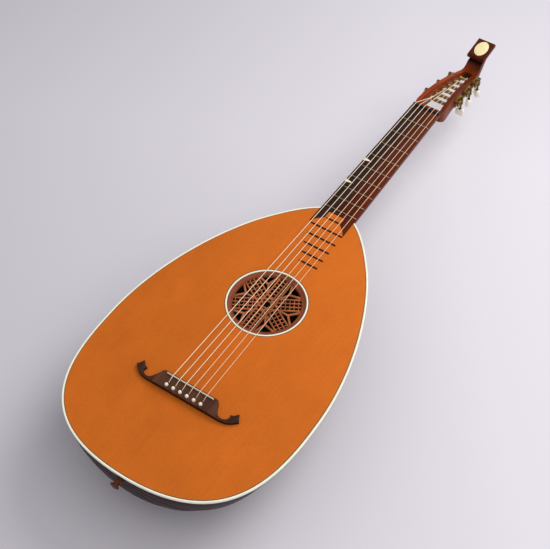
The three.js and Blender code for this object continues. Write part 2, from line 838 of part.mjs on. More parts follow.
function pegboxOuterHalf(y) {
  if (y < pegboxSideStartY) {
    const share = (y - pegboxStartY) / (pegboxSideStartY - pegboxStartY);
    const swell = Math.sin((share * Math.PI) / 2);
    return pegboxHalfAtStart + (pegboxHalfAtSideStart - pegboxHalfAtStart) * swell;
  }
  if (y > pegboxSideEndY) {
    const narrowed = alongShares(throatShares, pegboxShare(y));
    return pegboxHalfAtSideEnd + (throatHalfWidth - pegboxHalfAtSideEnd) * narrowed;
  }
  return pegboxHalfAt(y);
}

function pegboxStations() {
  const shares = [...pegboxFrontShares, ...pegboxBackShares].map(([along]) => along);
  const ys = shares.map((share) => pegboxStartY + share * pegboxLength);
  ys.push(pegboxSideStartY, pegboxSideEndY, tabletFootY);
  const sorted = ys.sort((a, b) => a - b);
  return sorted.filter((y, i) => i === 0 || y - sorted[i - 1] > gap);
}

function crossRing(y, half, front, back) {
  return [point(half, y, front), point(-half, y, front), point(-half, y, back),
    point(half, y, back)];
}

function pegboxGeometry() {
  let solid = solidOf(loftGeometry(pegboxStations()
    .map((y) => crossRing(y, pegboxOuterHalf(y), pegboxFrontZ(y), pegboxBackZ(y)))));
  const clear = pegboxDrop;
  solid = solid.subtract(solidOf(loftGeometry([slotStartY, slotThroughEndY]
    .map((y) => crossRing(y, slotHalfAt(y), clear, -2 * clear)))));
  solid = solid.subtract(solidOf(loftGeometry([slotThroughEndY - overrun, slotEndY]
    .map((y) => crossRing(y, slotHalfAt(y), clear, pegboxBackZ(y) + slotFloor)))));
  for (const tuner of tuners) {
    solid = solid.subtract(rollerBore(tuner));
  }
  return geometryOf(solid);
}

// Tablet and medallion, in a frame whose origin is the middle of the tablet's front

function medallionPoints(grow) {
  const segmentCount = 28;
  return Array.from({ length: segmentCount }, (_, i) => {
    const angle = (i * 2 * Math.PI) / segmentCount;
    return [(medallionHalfWidth + grow) * Math.cos(angle),
      (medallionHalfLength + grow) * Math.sin(angle)];
  });
}

function tabletGeometry() {
  const halfX = tabletHalfWidth - tabletBevel;
  const halfY = tabletLength / 2 - tabletBevel;
  const shape = new THREE.Shape([
    new THREE.Vector2(-halfX, -halfY), new THREE.Vector2(halfX, -halfY),
    new THREE.Vector2(halfX, halfY), new THREE.Vector2(-halfX, halfY)]);
  const block = new THREE.ExtrudeGeometry(shape, {
    depth: tabletThickness - 2 * tabletBevel,
    bevelThickness: tabletBevel,
    bevelSize: tabletBevel,
    bevelSegments: 1,
  }).translate(0, 0, tabletBevel - tabletThickness);
  const pocket = plateGeometry(medallionPoints(gap), [], medallionThickness + overrun)
    .translate(0, 0, -medallionThickness + medallionRise - gap);
  return geometryOf(solidOf(block).subtract(solidOf(pocket)));
}

function medallionGeometry() {
  return plateGeometry(medallionPoints(0), [], medallionThickness)
    .translate(0, 0, medallionRise - medallionThickness);
}

// Tuners. Each has a frame at its roller's middle: X along the roller, Y towards the tablet, and Z
// along the worm, out of the front. Its worm stands beside the gear, towards the tablet.

const meshDistance = wormRootRadius + gap + gearTipRadius;
const threadPitch = (2 * Math.PI * gearPitchRadius) / gearTeeth;

const tuners = Array.from({ length: stringCount }, (_, index) => {
  const y = firstRollerY + index * rollerPitch;
  const side = index % 2 === 0 ? -1 : 1;
  return { index, side, y, z: firstRollerZ - index * rollerDrop };
});

// A place in a tuner's frame, in the object's own frame
function tunerPlace(tuner, x, along, out) {
  return point(x, tuner.y + along * Math.cos(tunerTilt) - out * Math.sin(tunerTilt),
    tuner.z + along * Math.sin(tunerTilt) + out * Math.cos(tunerTilt));
}

function cheekX(tuner, along, out) {
  return pegboxHalfAt(tunerPlace(tuner, 0, along, out).y);
}

function plateOuterX(tuner) {
  return cheekX(tuner, -plateNutSide, plateHalfHeight) + gap + plateThickness;
}

function wormX(tuner) {
  return plateOuterX(tuner) + gap + wormCrestRadius;
}

function gearX(tuner) {
  return wormX(tuner) - gearThickness / 2;
}

function rollerFarX(tuner) {
  return slotHalfAt(tuner.y) + rollerSeat;
}

// A cylinder along X between two places, in a tuner's frame, on that tuner's side
function rod(tuner, fromX, toX, radius, sides = rollerSides) {
  const length = toX - fromX;
  return new THREE.CylinderGeometry(radius, radius, length, sides)
    .rotateZ(Math.PI / 2).translate((tuner.side * (fromX + toX)) / 2, 0, 0);
}

function placed(tuner, geometry) {
  return geometry.rotateX(tunerTilt).translate(0, tuner.y, tuner.z);
}

function rollerBore(tuner) {
  const farEnd = -rollerFarX(tuner) - gap;
  const bore = rod(tuner, farEnd, pegboxHalfAtSideStart + overrun, rollerRadius + gap);
  return solidOf(placed(tuner, bore));
}

function gearOutline() {
  const points = [];
  const toothAngle = (2 * Math.PI) / gearTeeth;
  const tipHalf = toothTipWidth / 2 / gearTipRadius;
  const rootHalf = toothRootWidth / 2 / gearRootRadius;
  for (let tooth = 0; tooth < gearTeeth; tooth += 1) {
    const middle = (tooth + 1 / 2) * toothAngle;
    points.push([gearRootRadius, middle - rootHalf], [gearTipRadius, middle - tipHalf],
      [gearTipRadius, middle + tipHalf], [gearRootRadius, middle + rootHalf]);
  }
  return points.map(([radius, angle]) => [radius * Math.cos(angle), radius * Math.sin(angle)]);
}

function rollerGeometry(tuner) {
  const start = gearX(tuner);
  const shaft = rod(tuner, -rollerFarX(tuner), start + gap, rollerRadius);
  const neck = rod(tuner, start, start + gearThickness + overrun / 2, rollerNeckRadius);
  const gear = plateGeometry(gearOutline(), [], gearThickness)
    .rotateY(Math.PI / 2).rotateX(Math.PI / 2)
    .translate(tuner.side > 0 ? start : -start - gearThickness, 0, 0);
  return geometryOf(solidOf(shaft).add(solidOf(gear)).add(solidOf(neck)));
}

// A plate whose inner face follows the slanted cheek, with two ears that carry the worm
function plateSolid(tuner) {
  const outer = plateOuterX(tuner);
  const ring = (along) => [plateHalfHeight, -plateHalfHeight].flatMap((out) => {
    const inner = cheekX(tuner, along, out) + gap;
    const pair = [point(tuner.side * inner, along, out), point(tuner.side * outer, along, out)];
    return out > 0 ? pair : pair.reverse();
  });
  let plate = solidOf(loftGeometry([ring(-plateNutSide), ring(plateHeadSide)]));
  const earX = wormX(tuner) + earReach;
  for (const end of [1, -1]) {
    const near = end * earOffset;
    const far = end * (earOffset + earThickness);
    const sides = [tuner.side * (outer - gap), tuner.side * earX];
    const earLow = point(Math.min(...sides), meshDistance - earReach, Math.min(near, far));
    const earHigh = point(Math.max(...sides), meshDistance + earReach, Math.max(near, far));
    plate = plate.add(solidOf(boxGeometry(earLow, earHigh)));
  }
  const journalHole = new THREE.CylinderGeometry(journalRadius + gap, journalRadius + gap,
    2 * (earOffset + earThickness + overrun), rollerSides)
    .rotateX(Math.PI / 2).translate(tuner.side * wormX(tuner), meshDistance, 0);
  plate = plate.subtract(solidOf(journalHole));
  return plate.subtract(solidOf(rod(tuner, 0, outer + overrun, rollerRadius + gap)));
}

// The worm's ridge, swept round its shaft as a right-hand screw
function threadGeometry() {
  const turnStepCount = 10;
  const steps = Math.round(wormTurns * turnStepCount);
  const rings = [];
  for (let step = 0; step <= steps; step += 1) {
    const turns = step / turnStepCount - wormTurns / 2;
    const angle = turns * 2 * Math.PI - Math.PI / 2;
    const z = turns * threadPitch;
    rings.push([
      [wormCore, -threadRootWidth / 2], [wormCrestRadius, -threadCrestWidth / 2],
      [wormCrestRadius, threadCrestWidth / 2], [wormCore, threadRootWidth / 2],
    ].map(([radius, rise]) => (
      point(radius * Math.cos(angle), radius * Math.sin(angle), z + rise))));
  }
  return loftGeometry(rings);
}

function wormGeometry(tuner) {
  const threadEnd = earOffset - gap;
  const frontEnd = earOffset + earThickness + wormFrontReach;
  const backEnd = -buttonDistance;
  const profile = [
    [0, backEnd], [journalRadius, backEnd], [journalRadius, -threadEnd],
    [wormRootRadius, -threadEnd], [wormRootRadius, threadEnd], [journalRadius, threadEnd],
    [journalRadius, frontEnd], [0, frontEnd],
  ].map(([radius, z]) => new THREE.Vector2(radius, z));
  const shaft = new THREE.LatheGeometry(profile, wormSides).rotateX(Math.PI / 2);
  const button = new THREE.SphereGeometry(1, 12, 6)
    .rotateX(Math.PI / 2)
    .scale(buttonHalfThickness, buttonHalfWidth, buttonHalfLength)
    .rotateZ(buttonTurnShares[tuner.index] * 2 * Math.PI)
    .translate(0, 0, -buttonDistance);
  return geometryOf(solidOf(shaft).add(solidOf(threadGeometry())).add(solidOf(button)));
}

// Strings. Each starts in the bridge beside its pin, lies over the saddle and the nut, and ends
// in the winding on its roller.

function sweep(points, radius) {
  const rings = points.map((spot, i) => {
    const before = points[Math.max(i - 1, 0)];
    const after = points[Math.min(i + 1, points.length - 1)];
    const along = after.clone().sub(before).normalize();
    const across = point(1, 0, 0);
    const side = across.sub(along.clone().multiplyScalar(across.dot(along))).normalize();
    const up = along.clone().cross(side);
    return Array.from({ length: stringSides }, (_, corner) => {
      const angle = (corner * 2 * Math.PI) / stringSides;
      return spot.clone().addScaledVector(side, radius * Math.cos(angle))
        .addScaledVector(up, radius * Math.sin(angle));
    });
  });
  return loftGeometry(rings);
}

// The slope of a string that leaves the nut and touches its winding's circle from above
function arrivalAngle(tuner, radius, coil) {
  const alongY = tuner.y - gap - nutLength;
  const alongZ = tuner.z - nutHeight - gap - radius;
  return Math.atan2(alongZ, alongY) + Math.asin(coil / Math.hypot(alongY, alongZ));
}

function windingPoints(string) {
  const radius = stringRadii[string];
  const tuner = tuners[rollerOfString[string]];
  const coil = rollerRadius + gap + radius;
  const outwards = Math.sign(windingStarts[string]);
  const pitch = (2 * radius + windingGap) * outwards;
  const startAngle = tunerTilt - arrivalAngle(tuner, radius, coil);
  const steps = windingLoops * windingStepsPerLoop;
  const points = [];
  for (let step = 0; step <= steps; step += 1) {
    const loops = step / windingStepsPerLoop;
    const angle = startAngle + loops * 2 * Math.PI;
    points.push(tunerPlace(tuner, windingStarts[string] + pitch * loops,
      coil * Math.sin(angle), coil * Math.cos(angle)));
  }
  const lastStep = points[steps].clone().sub(points[steps - 1]).normalize();
  points.push(points[steps].clone().addScaledVector(lastStep, 2 * radius));
  return points;
}

function stringPoints(string) {
  const radius = stringRadii[string];
  const saddleX = stringXAtSaddle(string);
  const riseY = pinY + pinShankRadius + gap + radius;
  const bend = radius + gap;
  const winding = windingPoints(string);
  const overSaddle = saddleTopZ + gap + radius;
  const overNut = nutHeight + gap + radius;
  const foot = bridgeBottomZ + bend;
  return [
    point(saddleX, riseY, foot),
    point(saddleX, riseY, bridgeHeight - bend),
    point(saddleX, riseY + bend, bridgeHeight + bend),
    point(saddleX, saddleY - saddleWidth / 2, overSaddle),
    point(saddleX, saddleY + saddleWidth / 2, overSaddle),
    point(stringXAtNut(string), gap, overNut),
    point(stringXAtNut(string), gap + nutLength, overNut),
    ...winding,
  ];
}

// The least gap of a winding to itself, measured between its points a half loop or more apart
function leastGap(string) {
  const points = windingPoints(string);
  const away = windingStepsPerLoop / 2;
  let least = Infinity;
  for (let a = 0; a < points.length; a += 1) {
    for (let b = a + away; b < points.length; b += 1) {
      least = Math.min(least, points[a].distanceTo(points[b]) - 2 * stringRadii[string]);
    }
  }
  return least;
}

// End button: a turned pin with a waist, whose shank sits in the clasp and the tail block
function endButtonGeometry() {
  const collarLength = 2;
  const headLength = 3;
  const shankLength = ribThickness + tailBlockDepth - collarLength;
  const seat = -gap;
  const headStart = -endButtonLength + headLength;
  const profile = [
    [0, -endButtonLength], [endButtonHead, -endButtonLength], [endButtonHead, headStart],
    [endButtonWaist, (seat - collarLength + headStart) / 2],
    [endButtonCollar, seat - collarLength], [endButtonCollar, seat], [endButtonShank, seat],
    [endButtonShank, shankLength], [0, shankLength],
  ].map(([radius, y]) => new THREE.Vector2(radius, y));
  return new THREE.LatheGeometry(profile, endButtonSegments)
    .translate(0, tailOuterY, buttonZ);
}

// The object

addPiece('soundboard', soundboardGeometry(), spruce);
addPiece('edge_binding', bindingGeometry(), paleBinding);
for (let rib = 0; rib < ribCount; rib += 1) {
  addPiece(`bowl_rib_${rib + 1}`, ribGeometry(rib), darkRib);
}
addPiece('end_clasp', claspGeometry(), darkRib);
addPiece('tail_block', tailBlockGeometry(), innerWood);
addPiece('neck_block', neckBlockGeometry(), innerWood);
braceShares.forEach((share, i) => (
  addPiece(`brace_${i + 1}`, braceGeometry(share), innerWood)));
addPiece('rose', roseGeometry(), roseWood);
addPiece('rose_ring', roseRingGeometry(), paleBinding);
addPiece('bridge', bridgeGeometry(), rosewood);
addPiece('saddle', saddleGeometry(), bone);
addPiece('fingerboard', fingerboardGeometry(), boardWood);
addPiece('neck', neckGeometry(), headWood);
addPiece('nut', nutGeometry(), blackNut);
markerSpaces.forEach((space) => (
  addPiece(`position_marker_${space}`, markerGeometry(space, 0, 0), bone)));
addPiece('pegbox', pegboxGeometry(), headWood);
addPiece('end_button', endButtonGeometry(), turnedWood);

const tabletFrame = new THREE.Group();
tabletFrame.rotation.x = tabletTilt;
tabletFrame.position.set(0, tabletLowY + (tabletLength / 2) * Math.cos(tabletTilt),
  tabletLowZ + (tabletLength / 2) * Math.sin(tabletTilt));
addPiece('head_tablet', tabletGeometry(), headWood, tabletFrame);
addPiece('medallion', medallionGeometry(), bone, tabletFrame);
lute.add(tabletFrame);

for (const tuner of tuners) {
  const frame = new THREE.Group();
  frame.position.set(0, tuner.y, tuner.z);
  frame.rotation.x = tunerTilt;
  const number = tuner.index + 1;
  addPiece(`tuner_plate_${number}`, geometryOf(plateSolid(tuner)), brass, frame);
  addPiece(`roller_${number}`, rollerGeometry(tuner), brass, frame);
  const worm = addPiece(`worm_${number}`, wormGeometry(tuner), bone, frame);
  worm.position.set(tuner.side * wormX(tuner), meshDistance, 0);
  lute.add(frame);
}

for (let string = 0; string < stringCount; string += 1) {
  addPiece(`bridge_pin_${string + 1}`, pinGeometry(string), bone);
  addPiece(`string_${string + 1}`, sweep(stringPoints(string), stringRadii[string]), gut);
}

const leastWindingGap = Math.min(...stringRadii.map((_, string) => leastGap(string)));
console.log(`least gap of a string winding to itself: ${leastWindingGap.toFixed(3)} mm`);

// Stand the box on the origin
lute.updateMatrixWorld(true);
const box = new THREE.Box3().setFromObject(lute, true);
const middle = box.getCenter(new THREE.Vector3());
lute.position.set(-middle.x, -middle.y, -box.min.z);
lute.updateMatrixWorld(true);

export default lute;
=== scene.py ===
# Looks of a lute guitar: a bowl-backed body, a guitar neck and a sickle-shaped pegbox.
# Metres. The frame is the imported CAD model: X across the strings (treble side positive), Y along
# them towards the head, Z out of the soundboard.
import json
import math

import bpy
from bpy.props import FloatProperty, FloatVectorProperty, IntProperty, PointerProperty
from mathutils import Matrix, Vector

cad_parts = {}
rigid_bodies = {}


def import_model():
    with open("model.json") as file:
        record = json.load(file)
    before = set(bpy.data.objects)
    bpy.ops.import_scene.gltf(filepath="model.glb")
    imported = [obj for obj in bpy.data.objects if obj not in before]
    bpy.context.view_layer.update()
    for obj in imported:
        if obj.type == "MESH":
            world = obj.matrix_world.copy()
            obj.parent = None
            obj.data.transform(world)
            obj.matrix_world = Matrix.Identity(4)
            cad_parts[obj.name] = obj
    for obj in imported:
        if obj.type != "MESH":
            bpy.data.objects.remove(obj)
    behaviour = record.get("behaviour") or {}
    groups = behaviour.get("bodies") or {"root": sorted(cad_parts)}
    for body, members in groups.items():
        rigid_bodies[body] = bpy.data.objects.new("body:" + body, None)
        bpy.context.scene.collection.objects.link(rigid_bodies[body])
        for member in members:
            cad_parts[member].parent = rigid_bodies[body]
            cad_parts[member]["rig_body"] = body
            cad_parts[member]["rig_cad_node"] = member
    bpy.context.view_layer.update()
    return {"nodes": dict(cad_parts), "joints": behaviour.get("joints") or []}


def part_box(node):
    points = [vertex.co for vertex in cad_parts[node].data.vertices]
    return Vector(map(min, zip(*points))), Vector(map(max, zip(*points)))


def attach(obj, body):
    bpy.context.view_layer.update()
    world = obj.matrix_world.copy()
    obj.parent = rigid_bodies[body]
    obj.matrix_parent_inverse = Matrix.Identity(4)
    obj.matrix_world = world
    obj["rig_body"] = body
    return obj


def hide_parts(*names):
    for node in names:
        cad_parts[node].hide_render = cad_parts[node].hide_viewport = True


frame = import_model()

bl_info = {
    "name": "Lute guitar",
    "version": (1, 0, 0),
    "blender": (4, 5, 0),
    "location": "View3D > Sidebar > Lute guitar",
    "description": "Dresses the packed lute guitar with its finished pieces and materials",
    "category": "Add Mesh",
}

MM = 0.001
NODES = frame["nodes"]
STRING_COUNT = 6
INSTRUMENT = "instrument"
JOINTS = {joint["name"]: joint for joint in frame["joints"]}

# Places that the frame gives: the nut's front on the middle line, and the soundboard's face
NUT_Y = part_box("fingerboard")[1].y
FACE_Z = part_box("edge_binding")[1].z


def spot(x, y, z):
    """A place given in millimetres from the nut's front on the middle line of the soundboard's face."""
    return Vector((x * MM, NUT_Y + y * MM, FACE_Z + z * MM))


def millimetres(place):
    return Vector((place.x / MM, (place.y - NUT_Y) / MM, (place.z - FACE_Z) / MM))


def joint_place(name):
    return millimetres(Vector(JOINTS[name]["pos_m"]))


def shift(x, y, z):
    """A move given in millimetres."""
    return Matrix.Translation((x * MM, y * MM, z * MM))


# Camera: solved from the frets, the body's edge, the rose ring and the bridge in the photograph
CAMERA_SPOT = spot(571.6, -1261.3, 1323.3)
CAMERA_TURN = (38.2193, 0.3884, 33.7171)
CAMERA_LENS = 79.49
CAMERA_SENSOR = 36.0


def colour_property(name, description, default):
    return FloatVectorProperty(name=name, description=description, subtype="COLOR",
                               default=default, min=0.0, max=1.0)


class LuteSizes(bpy.types.PropertyGroup):
    """Sizes of the dressing that a user may change."""

    floor_size: FloatProperty(
        name="Floor size", description="Length and width of the paper that the instrument lies on",
        default=9.0, min=2.0, max=20.0, unit="LENGTH")
    edge_steps: IntProperty(
        name="Steps in an edge curve", description="Points in each curve of the body's edge",
        default=44, min=12, max=60)
    string_steps: IntProperty(
        name="Steps in a string loop", description="Points in each turn of a string on its roller",
        default=36, min=24, max=72)


class LuteColours(bpy.types.PropertyGroup):
    """Base colours of the finishes, as linear values."""

    soundboard: colour_property("Soundboard", "Orange varnish over spruce", (0.77, 0.177, 0.015))
    bowl: colour_property("Bowl", "Dark ribs of the bowl", (0.04, 0.02, 0.022))
    bridge: colour_property("Bridge", "Dark wood of the bridge", (0.095, 0.036, 0.02))
    fingerboard: colour_property("Fingerboard", "Dark wood of the fingerboard", (0.032, 0.013, 0.01))
    head: colour_property("Head", "Red-brown varnish of the neck and pegbox", (0.25, 0.036, 0.006))
    inlay: colour_property("Inlay", "Pale binding, ring and bone", (1.0, 0.97, 0.78))
    paper: colour_property("Paper", "Floor and backdrop", (0.82, 0.785, 0.83))


def sizes():
    return bpy.context.scene.lute_sizes


def colours():
    return bpy.context.scene.lute_colours


# The instrument's own sizes, in millimetres, as its CAD model has them
GAP = 0.3
SCALE_LENGTH = 620.0
BODY_HALF = 162.6
BODY_TOP_Y = -0.4076 * SCALE_LENGTH
BODY_TAIL_Y = -1.23 * SCALE_LENGTH
EDGE_SHARES = (
    ((0, 0), (0.862, 0), (1, 0.158), (1, 0.352)),
    ((1, 0.352), (1, 0.359), (1, 0.365), (1, 0.372)),
    ((1, 0.372), (1, 0.579), (0.72, 0.779), (0.509, 0.869)),
    ((0.509, 0.869), (0.341, 0.942), (0.173, 1), (0, 1)),
)
TOP_THICKNESS = 2.6
BINDING_WIDTH = 3.3
BINDING_INSET = 0.5
BINDING_HEIGHT = 4.0
PURFLING_WIDTH = 0.8
RIB_COUNT = 9
RIB_THICKNESS = 2.4
BOWL_ANGLE = math.radians(74.0)
CLASP_HALF = 22.0
BOARD_HALF_AT_NUT = 23.6
BOARD_HALF_AT_BODY = 27.8
BOARD_BODY_Y = -0.4145 * SCALE_LENGTH
BOARD_THICKNESS = 4.0
TONGUE_HALF = 13.0
TONGUE_TOP_Y = -0.4194 * SCALE_LENGTH
TAIL_TIP_Y = -0.4673 * SCALE_LENGTH
ROSE = (3.0, -0.7189 * SCALE_LENGTH)
RING_RADIUS = 55.6
RING_WIDTH = 2.4
SADDLE_Y = -0.9948 * SCALE_LENGTH
PIN_Y = SADDLE_Y - 15.4
BRIDGE_TIP_X = 81.5
BRIDGE_REAR_Y = SADDLE_Y - 20.0
BRIDGE_LENGTH = 23.0
BRIDGE_HEIGHT = 7.6
PIN_HOLE_RADIUS = 2.2
STRING_RADII = (0.55, 0.5, 0.5, 0.45, 0.42, 0.4)
PEGBOX_START = 5.0
PEGBOX_END = 196.0
PEGBOX_DROP = 56.0
SLOT_START_Y = 12.0
SLOT_START_HALF = 18.8
SLOT_NARROWING = 11.4
SLOT_LENGTH = 140.0
TABLET_FOOT = 173.5
TABLET_TILT = math.radians(6.0)
TABLET_START_Y = 169.2
TABLET_START_Z = -17.8
TABLET_THICKNESS = 8.0
TUNER_TILT = math.radians(-3.0)
ROLLER_RADIUS = 3.0


def string_places(spacing):
    """How far each string is from the middle line."""
    return [(index - (STRING_COUNT - 1) / 2) * spacing for index in range(STRING_COUNT)]


SADDLE_XS = string_places(10.8)
NUT_XS = string_places(7.7)


def fret_y(fret):
    return -SCALE_LENGTH * (1 - 2 ** (-fret / 12))


def board_half(y):
    return BOARD_HALF_AT_NUT + (BOARD_HALF_AT_BODY - BOARD_HALF_AT_NUT) * y / BOARD_BODY_Y


def edge_place(step, outwards):
    """A place on the body's edge moved outwards. The whole part of the step picks the curve."""
    number = min(int(step), len(EDGE_SHARES) - 1)
    corners = [(x * BODY_HALF, BODY_TAIL_Y + y * (BODY_TOP_Y - BODY_TAIL_Y))
               for x, y in EDGE_SHARES[number]]
    t = step - number
    weights = ((1 - t) ** 3, 3 * t * (1 - t) ** 2, 3 * t * t * (1 - t), t ** 3)
    x, y = (sum(w * corner[axis] for w, corner in zip(weights, corners)) for axis in (0, 1))
    slopes = ((1 - t) ** 2, 2 * t * (1 - t), t * t)
    along_x, along_y = (sum(w * (after[axis] - before[axis]) for w, before, after
                            in zip(slopes, corners, corners[1:])) for axis in (0, 1))
    reach = math.hypot(along_x, along_y)
    return x + along_y / reach * outwards, y - along_x / reach * outwards


def step_at(half, outwards, inner, outer):
    """The step between two others at which the moved edge is a given distance from the middle."""
    for _ in range(50):
        middle = (inner + outer) / 2
        if edge_place(middle, outwards)[0] < half:
            inner = middle
        else:
            outer = middle
    return (inner + outer) / 2


def edge_steps(start, end):
    count = sizes().edge_steps
    inside = [n / count for n in range(len(EDGE_SHARES) * count + 1)]
    return [start, *(step for step in inside if start + 0.01 < step < end - 0.01), end]


def edge_line(outwards):
    """Half of the moved edge, from the tail's middle to the side of the fingerboard."""
    end = step_at(BOARD_HALF_AT_BODY + GAP, outwards, len(EDGE_SHARES), len(EDGE_SHARES) - 1)
    return [edge_place(step, outwards) for step in edge_steps(0.0, end)]


def board_end(grow):
    """The fingerboard's two pointed tails beside the soundboard's tongue."""
    tip = board_half(TAIL_TIP_Y)
    width = tip - TONGUE_HALF
    drop = TONGUE_TOP_Y - TAIL_TIP_Y
    return [
        (tip + grow, TAIL_TIP_Y - 3.4 * grow),
        (tip - 0.42 * width - grow, TONGUE_TOP_Y - 0.68 * drop - grow),
        (TONGUE_HALF - grow, TONGUE_TOP_Y - 0.42 * drop - grow),
        (TONGUE_HALF - grow, TONGUE_TOP_Y - grow),
    ]


def whole(half):
    """A closed outline from its half on the treble side."""
    return half + [(-x, y) for x, y in reversed(half) if x > 0.001]


def smooth_line(places, steps):
    """Places along one smooth line through the given places."""
    line = []
    ends = [places[0], *places, places[-1]]
    for before, start, end, after in zip(ends, ends[1:], ends[2:], ends[3:]):
        for step in range(steps):
            t = step / steps
            line.append(tuple(
                (2 * b + (c - a) * t + (2 * a - 5 * b + 4 * c - d) * t * t
                 + (3 * b - a - 3 * c + d) * t ** 3) / 2
                for a, b, c, d in zip(before, start, end, after)))
    return [*line, tuple(places[-1])]


def value_at(line, along):
    """The second number at a place of the first, in a line of pairs."""
    for (start, low), (end, high) in zip(line, line[1:]):
        if along <= end:
            share = min(max((along - start) / (end - start), 0.0), 1.0)
            return low + (high - low) * share
    return line[-1][1]


# Making pieces

def deselect():
    bpy.ops.object.select_all(action="DESELECT")


def make_active(piece):
    deselect()
    piece.select_set(True)
    bpy.context.view_layer.objects.active = piece


def named(piece, name):
    piece.name = name
    piece.data.name = name
    return piece


def new_piece(name):
    """The object that the last operator made, under its name."""
    return named(bpy.context.active_object, name)


def mend(piece, doubled=0.004, flat=None, fill=False, outwards=True):
    """Join doubled points. As asked, also join flat neighbouring faces, close open ends and turn
    the faces outwards."""
    make_active(piece)
    bpy.ops.object.mode_set(mode="EDIT")
    bpy.ops.mesh.select_all(action="SELECT")
    bpy.ops.mesh.remove_doubles(threshold=doubled * MM)
    if flat is not None:
        bpy.ops.mesh.dissolve_limited(angle_limit=math.radians(flat))
    if fill:
        bpy.ops.mesh.fill_holes(sides=0)
    if outwards:
        bpy.ops.mesh.normals_make_consistent(inside=False)
    bpy.ops.object.mode_set(mode="OBJECT")


def copy_of(node, name):
    """A merged copy of a CAD node, with its flat faces joined, as the start of a piece."""
    make_active(NODES[node])
    bpy.ops.object.duplicate()
    piece = new_piece(name)
    bpy.ops.object.parent_clear(type="CLEAR")
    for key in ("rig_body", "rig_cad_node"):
        del piece[key]
    mend(piece, flat=0.5, outwards=False)
    return piece


def apply_modifiers(piece):
    make_active(piece)
    for modifier in list(piece.modifiers):
        bpy.ops.object.modifier_apply(modifier=modifier.name)


def round_edges(piece, width, segments=2, angle=35.0):
    """Round the edges sharper than an angle, by a width in millimetres."""
    bevel = piece.modifiers.new("Rounding", "BEVEL")
    bevel.width = width * MM
    bevel.segments = segments
    bevel.limit_method = "ANGLE"
    bevel.angle_limit = math.radians(angle)
    apply_modifiers(piece)


def smooth(piece, angle):
    make_active(piece)
    bpy.ops.object.shade_smooth_by_angle(angle=math.radians(angle))


def cover(piece, finish):
    piece.data.materials.clear()
    piece.data.materials.append(finish_named(finish))


def finished(piece, finish, nodes=(), body=INSTRUMENT, angle=40.0):
    """Give a piece its finish and slot, hide the CAD nodes it stands for, and let it ride."""
    smooth(piece, angle)
    cover(piece, finish)
    if nodes:
        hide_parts(*nodes)
    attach(piece, body)


def set_down(piece, matrix):
    """Move a piece by a matrix, into its mesh."""
    make_active(piece)
    piece.matrix_world = matrix @ piece.matrix_world
    bpy.ops.object.transform_apply()


def to_place(piece, matrix=None):
    """From the instrument's own millimetre places to the frame's."""
    set_down(piece, Matrix.Translation(spot(0.0, 0.0, 0.0)) @ (matrix or Matrix.Identity(4)))
    return piece


def drawn_curve(name, lines, closed=True):
    """A curve object with one straight-stepped spline for each line of places, in millimetres."""
    bpy.ops.curve.primitive_bezier_circle_add(location=(0.0, 0.0, 0.0))
    piece = new_piece(name)
    piece.data.splines.clear()
    for line in lines:
        spline = piece.data.splines.new("POLY")
        spline.points.add(len(line) - 1)
        spline.use_cyclic_u = closed
        for point, place in zip(spline.points, line):
            x, y, z = (*place, 0.0)[:3]
            point.co = (x * MM, y * MM, z * MM, 1.0)
    return piece


def as_mesh():
    """The active curve, turned into a mesh."""
    bpy.ops.object.convert(target="MESH")
    return bpy.context.active_object


def slab(name, outlines, low, high):
    """A closed slab between two heights. Every outline after the first is a hole."""
    piece = drawn_curve(name, outlines)
    piece.data.dimensions = "2D"
    piece.data.fill_mode = "BOTH"
    piece.data.extrude = (high - low) / 2 * MM
    piece = as_mesh()
    set_down(piece, shift(0.0, 0.0, (low + high) / 2))
    mend(piece, flat=0.5)
    return piece


def block(name, low, high):
    middle = [(a + b) / 2 * MM for a, b in zip(low, high)]
    bpy.ops.mesh.primitive_cube_add(size=1.0, location=middle)
    piece = new_piece(name)
    piece.scale = [(b - a) * MM for a, b in zip(low, high)]
    bpy.ops.object.transform_apply()
    return piece


def peg(x, y, low, high, radius, sides=28):
    bpy.ops.mesh.primitive_cylinder_add(
        vertices=sides, radius=radius * MM, depth=(high - low) * MM,
        location=(x * MM, y * MM, (low + high) / 2 * MM))
    bpy.ops.object.transform_apply()
    return bpy.context.active_object


def combine(piece, tool):
    """Cut a tool out of a piece, and remove the tool."""
    change = piece.modifiers.new("Combine", "BOOLEAN")
    change.operation = "DIFFERENCE"
    change.solver = "EXACT"
    change.object = tool
    apply_modifiers(piece)
    bpy.data.objects.remove(tool)


def join(pieces):
    deselect()
    for piece in pieces:
        piece.select_set(True)
    bpy.context.view_layer.objects.active = pieces[0]
    bpy.ops.object.join()
    return pieces[0]


def turned_piece(name, profile, steps=32, closed=False):
    """A turned shape about Z from radii and heights in millimetres. A closed profile is a ring."""
    piece = drawn_curve(name, [[(radius, 0.0, height) for radius, height in profile]], closed)
    piece.data.dimensions = "3D"
    piece = as_mesh()
    screw = piece.modifiers.new("Turning", "SCREW")
    screw.axis = "Z"
    screw.angle = 2 * math.pi
    screw.steps = steps
    screw.render_steps = steps
    screw.use_merge_vertices = True
    screw.merge_threshold = 0.002 * MM
    apply_modifiers(piece)
    mend(piece)
    smooth(piece, 50.0)
    return piece


def copied(piece, name):
    make_active(piece)
    bpy.ops.object.duplicate()
    return new_piece(name)


def circle(x, y, radius, steps=96):
    return [(x + radius * math.cos(2 * math.pi * step / steps),
             y + radius * math.sin(2 * math.pi * step / steps)) for step in range(steps)]


